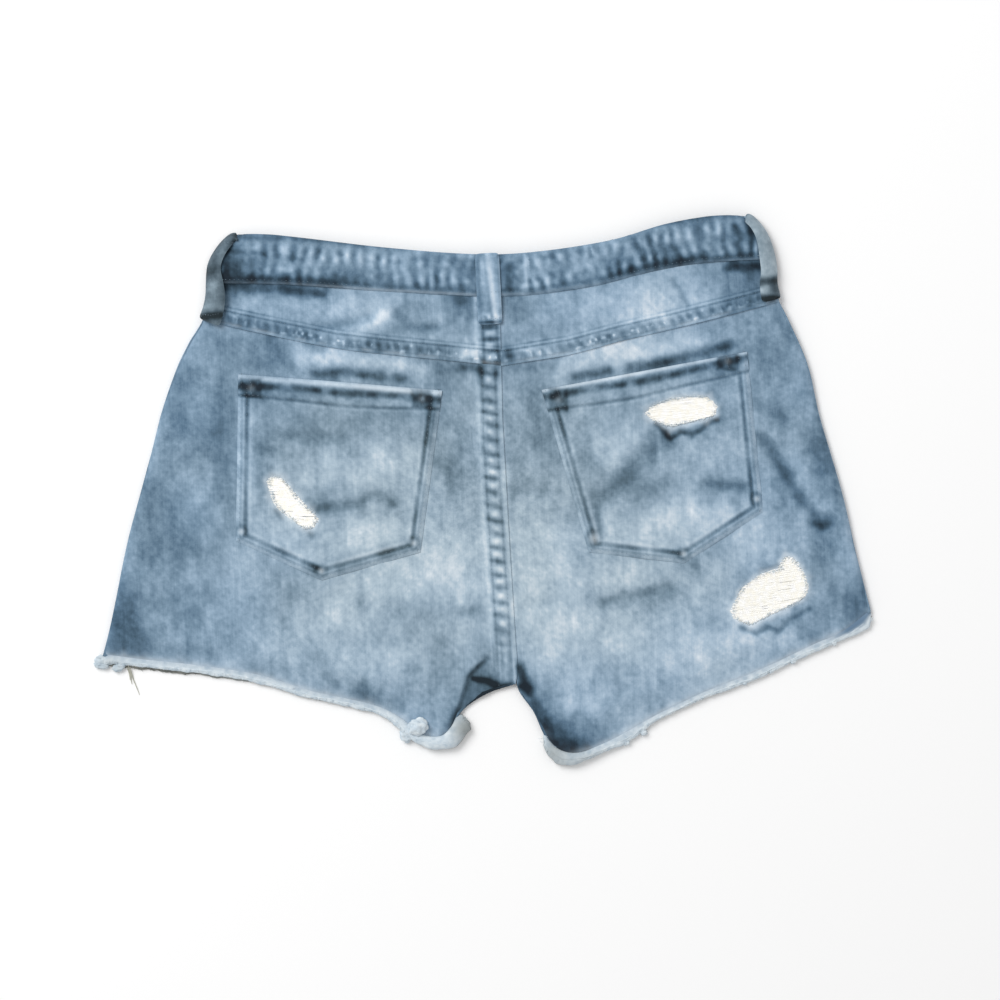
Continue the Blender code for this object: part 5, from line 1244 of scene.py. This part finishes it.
def joined(name, parts):
    """One piece out of several."""
    with bpy.context.temp_override(active_object=parts[0], selected_editable_objects=parts,
                                   selected_objects=parts):
        bpy.ops.object.join()
    parts[0].name = parts[0].data.name = name
    return parts[0]


def fray_height(face, u, roll):
    """Top of the roll at a share u of the way across it."""
    arch = math.sin(math.pi * min(max(0.12 + 0.80 * u, 0), 1))
    rise = ROLL_RISE * roll if face == "back" else 0
    return HEM_BASE[face] + (HEM_TOP[face] - HEM_BASE[face] + rise) * arch


def fray_roll(face, edge, across, span, roll, lumps, material):
    """The matted roll itself: a soft tube along the cut, still blue beside the cloth."""
    points, dyed = [], []
    for i in range(len(edge)):
        wide = span[i] * lumps[i]
        taper = min(1.0, 0.35 + 0.2 * min(i, len(edge) - 1 - i))
        high = (fray_height(face, 0.5, roll[i]) - HEM_BASE[face]) * (0.9 + 0.1 * lumps[i]) * taper
        middle = edge[i] + across[i] * (0.5 * wide - FRAY_TUCK)
        for k in range(CORE_SIDES):
            angle = 2 * math.pi * k / CORE_SIDES
            x, y = middle + across[i] * math.cos(angle) * (0.5 * wide + 0.5 * FRAY_TUCK) * taper
            points.append((x, y, HEM_BASE[face] + high * 0.5 * (1 + math.sin(angle))))
            corner = min(max((x - 246) / 16, 0), 1)         # the right corner is blue over half its width
            inner = min(max((0.3 - math.cos(angle)) * (1 + corner), 0), 1)
            dyed.append((0.34 + 0.66 * corner) * (1 - roll[i]) * inner if face == "back" else 0)
    core = new_piece("core", points, tube_faces(len(edge), CORE_SIDES), material, {"dyed": dyed})
    work = bmesh.new()
    work.from_mesh(core.data)
    bmesh.ops.recalc_face_normals(work, faces=work.faces)
    work.to_mesh(core.data)
    work.free()
    return core


bleached_cotton = thread_material("bleached frayed cotton", "E6EEF2", "BECDD8", 4.0)
fray_core = thread_material("matted blue and white fray", "DFE8ED", "B3C3CF", 5.0)
# The lower layer's roll, seen beside the upper one, is dark grey brown as painted shade.
shaded_cotton = thread_material("shade painted grey brown fray", "888A84", "575B58", 4.0)
loose_cotton = thread_material("loose cream thread", "C9C8BC", "A5A597", 4.0)

for face, core_cotton, cotton in (
        ("back", fray_core, bleached_cotton), ("front", shaded_cotton, shaded_cotton)):
    for half, seed in (("left", 101), ("right", 202)):
        rng = np.random.default_rng(seed)
        run = even_line(HEMS[half], 1.0)
        edge, across, roll = run[:, :2], run[:, 2:4] - run[:, :2], np.clip(run[:, 4], 0, 1)
        width = np.hypot(*across.T)
        across /= width[:, None]
        reach = np.full(len(run), FRAY_REACH[face])
        for sign, start, loss in REACH_STEPS[face]:
            reach -= loss * (sign * edge[:, 0] > start)
        span, place = reach * width, np.arange(len(run)) * 1.0
        lumps = 1 + 0.10 * uneven(place, 0, 5.5, 111) + 0.05 * uneven(place, 9, 2.2, 112)
        core = fray_roll(face, edge, across, span, roll, lumps, core_cotton)

        count = int(STRANDS[face] * len(run))
        at = rng.uniform(0, len(run) - 1.01, count)
        at = at[roll[at.astype(int)] < rng.uniform(0.1, 1.3, count)].astype(int)
        ends = []
        for i, share in zip(at, rng.uniform(0.35, 0.80, len(at))):
            share = max(share, 0.70) if edge[i][0] > 250 else share
            z = fray_height(face, share, roll[i]) - rng.uniform(0.15, 0.5)
            heading, c = swung(across[i], rng.normal(0, 1.0))
            length = rng.uniform(1.8, 4.4) * (1 + 0.35 * roll[i])
            length = min(length, max(1.0, (reach[i] - share) * width[i] / max(0.35, c)))
            dip = rng.uniform(-0.35, 0.05) if z > 1.2 else rng.uniform(0, 0.2)
            root = (*(edge[i] + across[i] * share * span[i]), max(z, 0.4))
            ends.append((root, (*heading, dip), length, rng.uniform(0.12, 0.20)))

        lines = []
        for n in range(WEFT_LINES):
            line, shift = [], rng.uniform(0, 99)
            for i in range(0, len(run), 2):
                wave = 0.46 + 0.12 * n + 0.10 * uneven(i, shift, 5.0, 120 + n)
                z = fray_height(face, wave, roll[i]) - 0.05 + 0.3 * uneven(i, shift, 3.0, 150)
                line.append((*(edge[i] + across[i] * wave * span[i] * 0.9), max(0.3, z)))
            cut = rng.integers(0, 12)
            lines.append(line[cut:len(line) - rng.integers(1, 12)])
        parts = [core, scattered("ends", ends, cotton, 7), threads("wefts", lines, 0.24, cotton)]
        if face == "back":
            near = [knot for knot in FRAY_KNOTS if (knot[0] < FLY_X) == (half == "left")]
            parts.append(knots("knots", near, fray_core))
            if half == "left":
                parts.append(threads("loose", LOOSE_THREAD, 0.42, loose_cotton, 6))
        fray = joined("frayed_hem_%s_%s" % (face, half), parts)
        places = points_of(fray.data)
        places[:, 2] = np.maximum(places[:, 2], 0.05 * MM)
        fray.data.vertices.foreach_set("co", places.ravel())
        x, y = places[:, 0] / MM, places[:, 1] / MM
        # On the front roll the greying lightens its painted shade right of x = -196; on the back rolls it is
        # painted shade on the curled corners.
        greyed = 0.85 * ramp(x + 196, 6) if face == "front" else sum(
            share * hump(np.hypot((x - sx) / stretch, y - sy), 0, radius)
            for share, sx, sy, radius, stretch in ROLL_SHADE)
        fray.data.attributes.new("greyed", "FLOAT", "POINT").data.foreach_set("value", greyed.astype(np.float32))
        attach(fray, "root")
        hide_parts("hem_fray_%s_%s" % (face, half))


# ---- Rips ----
# Holes where the blue warp has worn through and the cream weft is left bare, lying side by side
# across the gap in two loose layers, with short blue and white ends round each rim.

WEFT_PITCH = 0.72
WEFT_RADIUS = 0.50
WEFT_SAG = 0.55                 # how far the bare threads lie below the cloth round the rip
COLLAR = 1.10                   # the cloth's height is read on the outline made this much larger
bare_weft = thread_material("bare cream weft", "FFFFFF", "FBF8EE", 3.0)

for name, (carrier, node, slant, outline) in RIPS.items():
    rng = np.random.default_rng(300 + len(outline))
    rim = np.array(outline)
    middle = rim.mean(axis=0)
    lean = math.radians(slant)
    turned = np.array(((math.cos(lean), math.sin(lean)), (-math.sin(lean), math.cos(lean))))
    local = (rim - middle) @ turned.T
    collar = middle + (rim - middle) * COLLAR
    hits = dropped(surface_of(carrier), collar)
    level = float(np.mean([hit[2] for hit in hits if hit])) - WEFT_SAG
    plane = np.linalg.lstsq(np.column_stack((collar, np.ones(len(collar)))),
                            np.array([hit[2] if hit else level for hit in hits]), rcond=None)[0]
    lines = []
    for layer in (0, 1):
        for v in np.arange(local[:, 1].min() + 0.3, local[:, 1].max(), WEFT_PITCH * (1 + 0.1 * layer)):
            row = v + rng.uniform(-0.18, 0.18)
            cuts = sorted(ax + (row - ay) * (bx - ax) / (by - ay) for (ax, ay), (bx, by)
                          in zip(local, np.roll(local, -1, axis=0)) if (ay > row) != (by > row))
            for start, end in zip(cuts[::2], cuts[1::2]):
                start, end = start - rng.uniform(0.4, 2.6), end + rng.uniform(0.4, 2.6)
                count = max(4, int((end - start) / 1.6))
                shift, deep = rng.uniform(0, 99), rng.uniform(0.0, 0.35)
                line = []
                for t in (i / count for i in range(count + 1)):
                    u = start + (end - start) * t
                    w = row + 0.45 * uneven(u, shift, 7.0, 310) * math.sin(math.pi * t)
                    x, y = np.array((u, w)) @ turned + middle
                    z = 0.75 * (2 * t - 1) ** 6 - 0.2 * (layer + deep) + 0.15 * uneven(u, shift, 4.0, 311)
                    line.append((x, y, plane @ (x, y, 1) - WEFT_SAG + z))
                lines.append(line)
    rim = even_line([*outline, outline[0]], 1.0)
    ends = []
    for _ in range(int(4.0 * len(rim))):
        i = rng.integers(0, len(rim))
        x, y = middle + (rim[i] - middle) * (1 + rng.uniform(-0.02, 0.05))
        heading = swung((middle - rim[i]) / np.hypot(*(middle - rim[i])), rng.normal(0, 0.9))[0]
        ends.append(((x, y, plane @ (x, y, 1) - 0.1), (*heading, rng.uniform(-0.35, 0.15)),
                     rng.uniform(1.0, 2.8), rng.uniform(0.12, 0.2)))
    rip = joined("bare_weft_" + name, [threads("bundle", lines, WEFT_RADIUS, bare_weft),
                                       scattered("rim_ends", ends, bleached_cotton, 9)])
    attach(rip, "root")
    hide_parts(node)


# ---- Button, zip and slider ----
# A turned brass button set through the front waistband, and a brass zip inside the fly: cotton
# tapes in a herringbone weave, cast teeth that mesh along their middle and a slider at the top.

ZIP_LOW, ZIP_HIGH, TOOTH_PITCH = 31.0, 104.0, 1.5


def aged_brass_finish():
    """Cast brass gone brown in its hollows and rubbed bright on its edges."""
    material, tree, place = finish_with("aged brass", Metallic=1.0)
    patina = add(tree, "ShaderNodeTexNoise", {"Vector": place, "Scale": 420.0, "Detail": 4.0})
    spread = add(tree, "ShaderNodeMapRange", {"Value": patina, "From Min": 0.35, "From Max": 0.65})
    metal = add(tree, "ShaderNodeMix", {"Factor": spread, 6: colour("6B5334"), 7: colour("B8965C")}, 2,
                data_type="RGBA")
    rough = add(tree, "ShaderNodeMapRange", {"Value": patina, "To Min": 0.6, "To Max": 0.3})
    tree.links.new(rough, tree.nodes["Principled BSDF"].inputs["Roughness"])
    return surfaced(material, metal, patina, 0.3, 0.1)


def tape_finish():
    """Dark blue cotton tape: a herringbone of 1 mm ribs that turns back every 3 mm."""
    material, tree, place = finish_with("navy cotton zip tape", Roughness=0.85)
    sides = add(tree, "ShaderNodeSeparateXYZ", {"Vector": place}, None).outputs
    turned = add(tree, "ShaderNodeMath", {0: sides["X"], 1: 3 * MM}, operation="PINGPONG")
    slanted = add(tree, "ShaderNodeMath", {0: turned, 1: sides["Y"]}, operation="ADD")
    wound = add(tree, "ShaderNodeMath", {0: slanted, 1: 2 * math.pi / MM}, operation="MULTIPLY")
    rib = add(tree, "ShaderNodeMath", {0: wound}, operation="SINE")
    spread = add(tree, "ShaderNodeMapRange", {"Value": rib, "From Min": -1.0, "From Max": 1.0})
    woven = add(tree, "ShaderNodeMix", {"Factor": spread, 6: colour("1B2432"), 7: colour("3A475A")}, 2,
                data_type="RGBA")
    return surfaced(material, woven, rib, 0.4, 0.15)


brass = aged_brass_finish()
for node, finish in (("button", brass), ("zip_slider", brass), ("zip", tape_finish())):
    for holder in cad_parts[node].material_slots:
        holder.material = finish

tape = surface_of(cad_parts["zip"].name)
pegs = []
for i in range(int((ZIP_HIGH - ZIP_LOW) / TOOTH_PITCH)):
    start, end = ((-2.3, 0.8), (-0.8, 2.3))[i % 2]
    tooth = [(FLY_X + start + (end - start) * k / 3, ZIP_LOW + TOOTH_PITCH * i) for k in range(4)]
    pegs.append(dropped(tape, tooth, raised=0.1))
teeth = threads("zip_teeth", pegs, 0.6, brass, 6)
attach(teeth, "root")


# ---- Floor, light and camera ----
# A pale matt floor just under the cloth, broad soft light from above with a gentle lean from the
# upper left, and a camera that looks straight down with the garment turned slightly.

FLOOR_DROP = 0.2
FLOOR_SIDE = 6.0                # metres
VIEW_CENTRE = (16.06, -2.2)
VIEW_WIDTH = 720.0
VIEW_HEIGHT = 7.0               # the plane that fills the view's width
VIEW_TURN = -2.7
LENS, SENSOR = 120.0, 36.0
LAMP_PLACE, LAMP_SIDE, LAMP_WATTS = (-1.6, 1.6, 2.4), 1.8, 70
SKY_STRENGTH = 0.62

bpy.ops.mesh.primitive_plane_add(size=FLOOR_SIDE, location=(0, 0, -FLOOR_DROP * MM))
floor = bpy.context.object
floor.name = "floor"
paper = bpy.data.materials.new("white paper floor")
paper.use_nodes = True
paper.node_tree.nodes["Principled BSDF"].inputs["Base Color"].default_value = colour("FCFCFC")
paper.node_tree.nodes["Principled BSDF"].inputs["Roughness"].default_value = 0.8
floor.data.materials.append(paper)

light = bpy.data.lights.new("key", "AREA")
light.shape, light.size, light.energy = "SQUARE", LAMP_SIDE, LAMP_WATTS
lamp = shown("key", light)
lamp.location = LAMP_PLACE
lamp.rotation_euler = (-Vector(LAMP_PLACE)).to_track_quat("-Z", "Y").to_euler()
world = bpy.data.worlds.new("even light")
world.use_nodes = True
world.node_tree.nodes["Background"].inputs["Color"].default_value = (1, 1, 1, 1)
world.node_tree.nodes["Background"].inputs["Strength"].default_value = SKY_STRENGTH
bpy.context.scene.world = world
bpy.context.scene.view_settings.view_transform = "Standard"

view = bpy.data.cameras.new("camera")
view.lens, view.sensor_width = LENS, SENSOR
camera = shown("camera", view)
camera.location = (VIEW_CENTRE[0] * MM, VIEW_CENTRE[1] * MM, (VIEW_HEIGHT + VIEW_WIDTH * LENS / SENSOR) * MM)
camera.rotation_euler = (0, 0, math.radians(VIEW_TURN))
bpy.context.scene.camera = camera
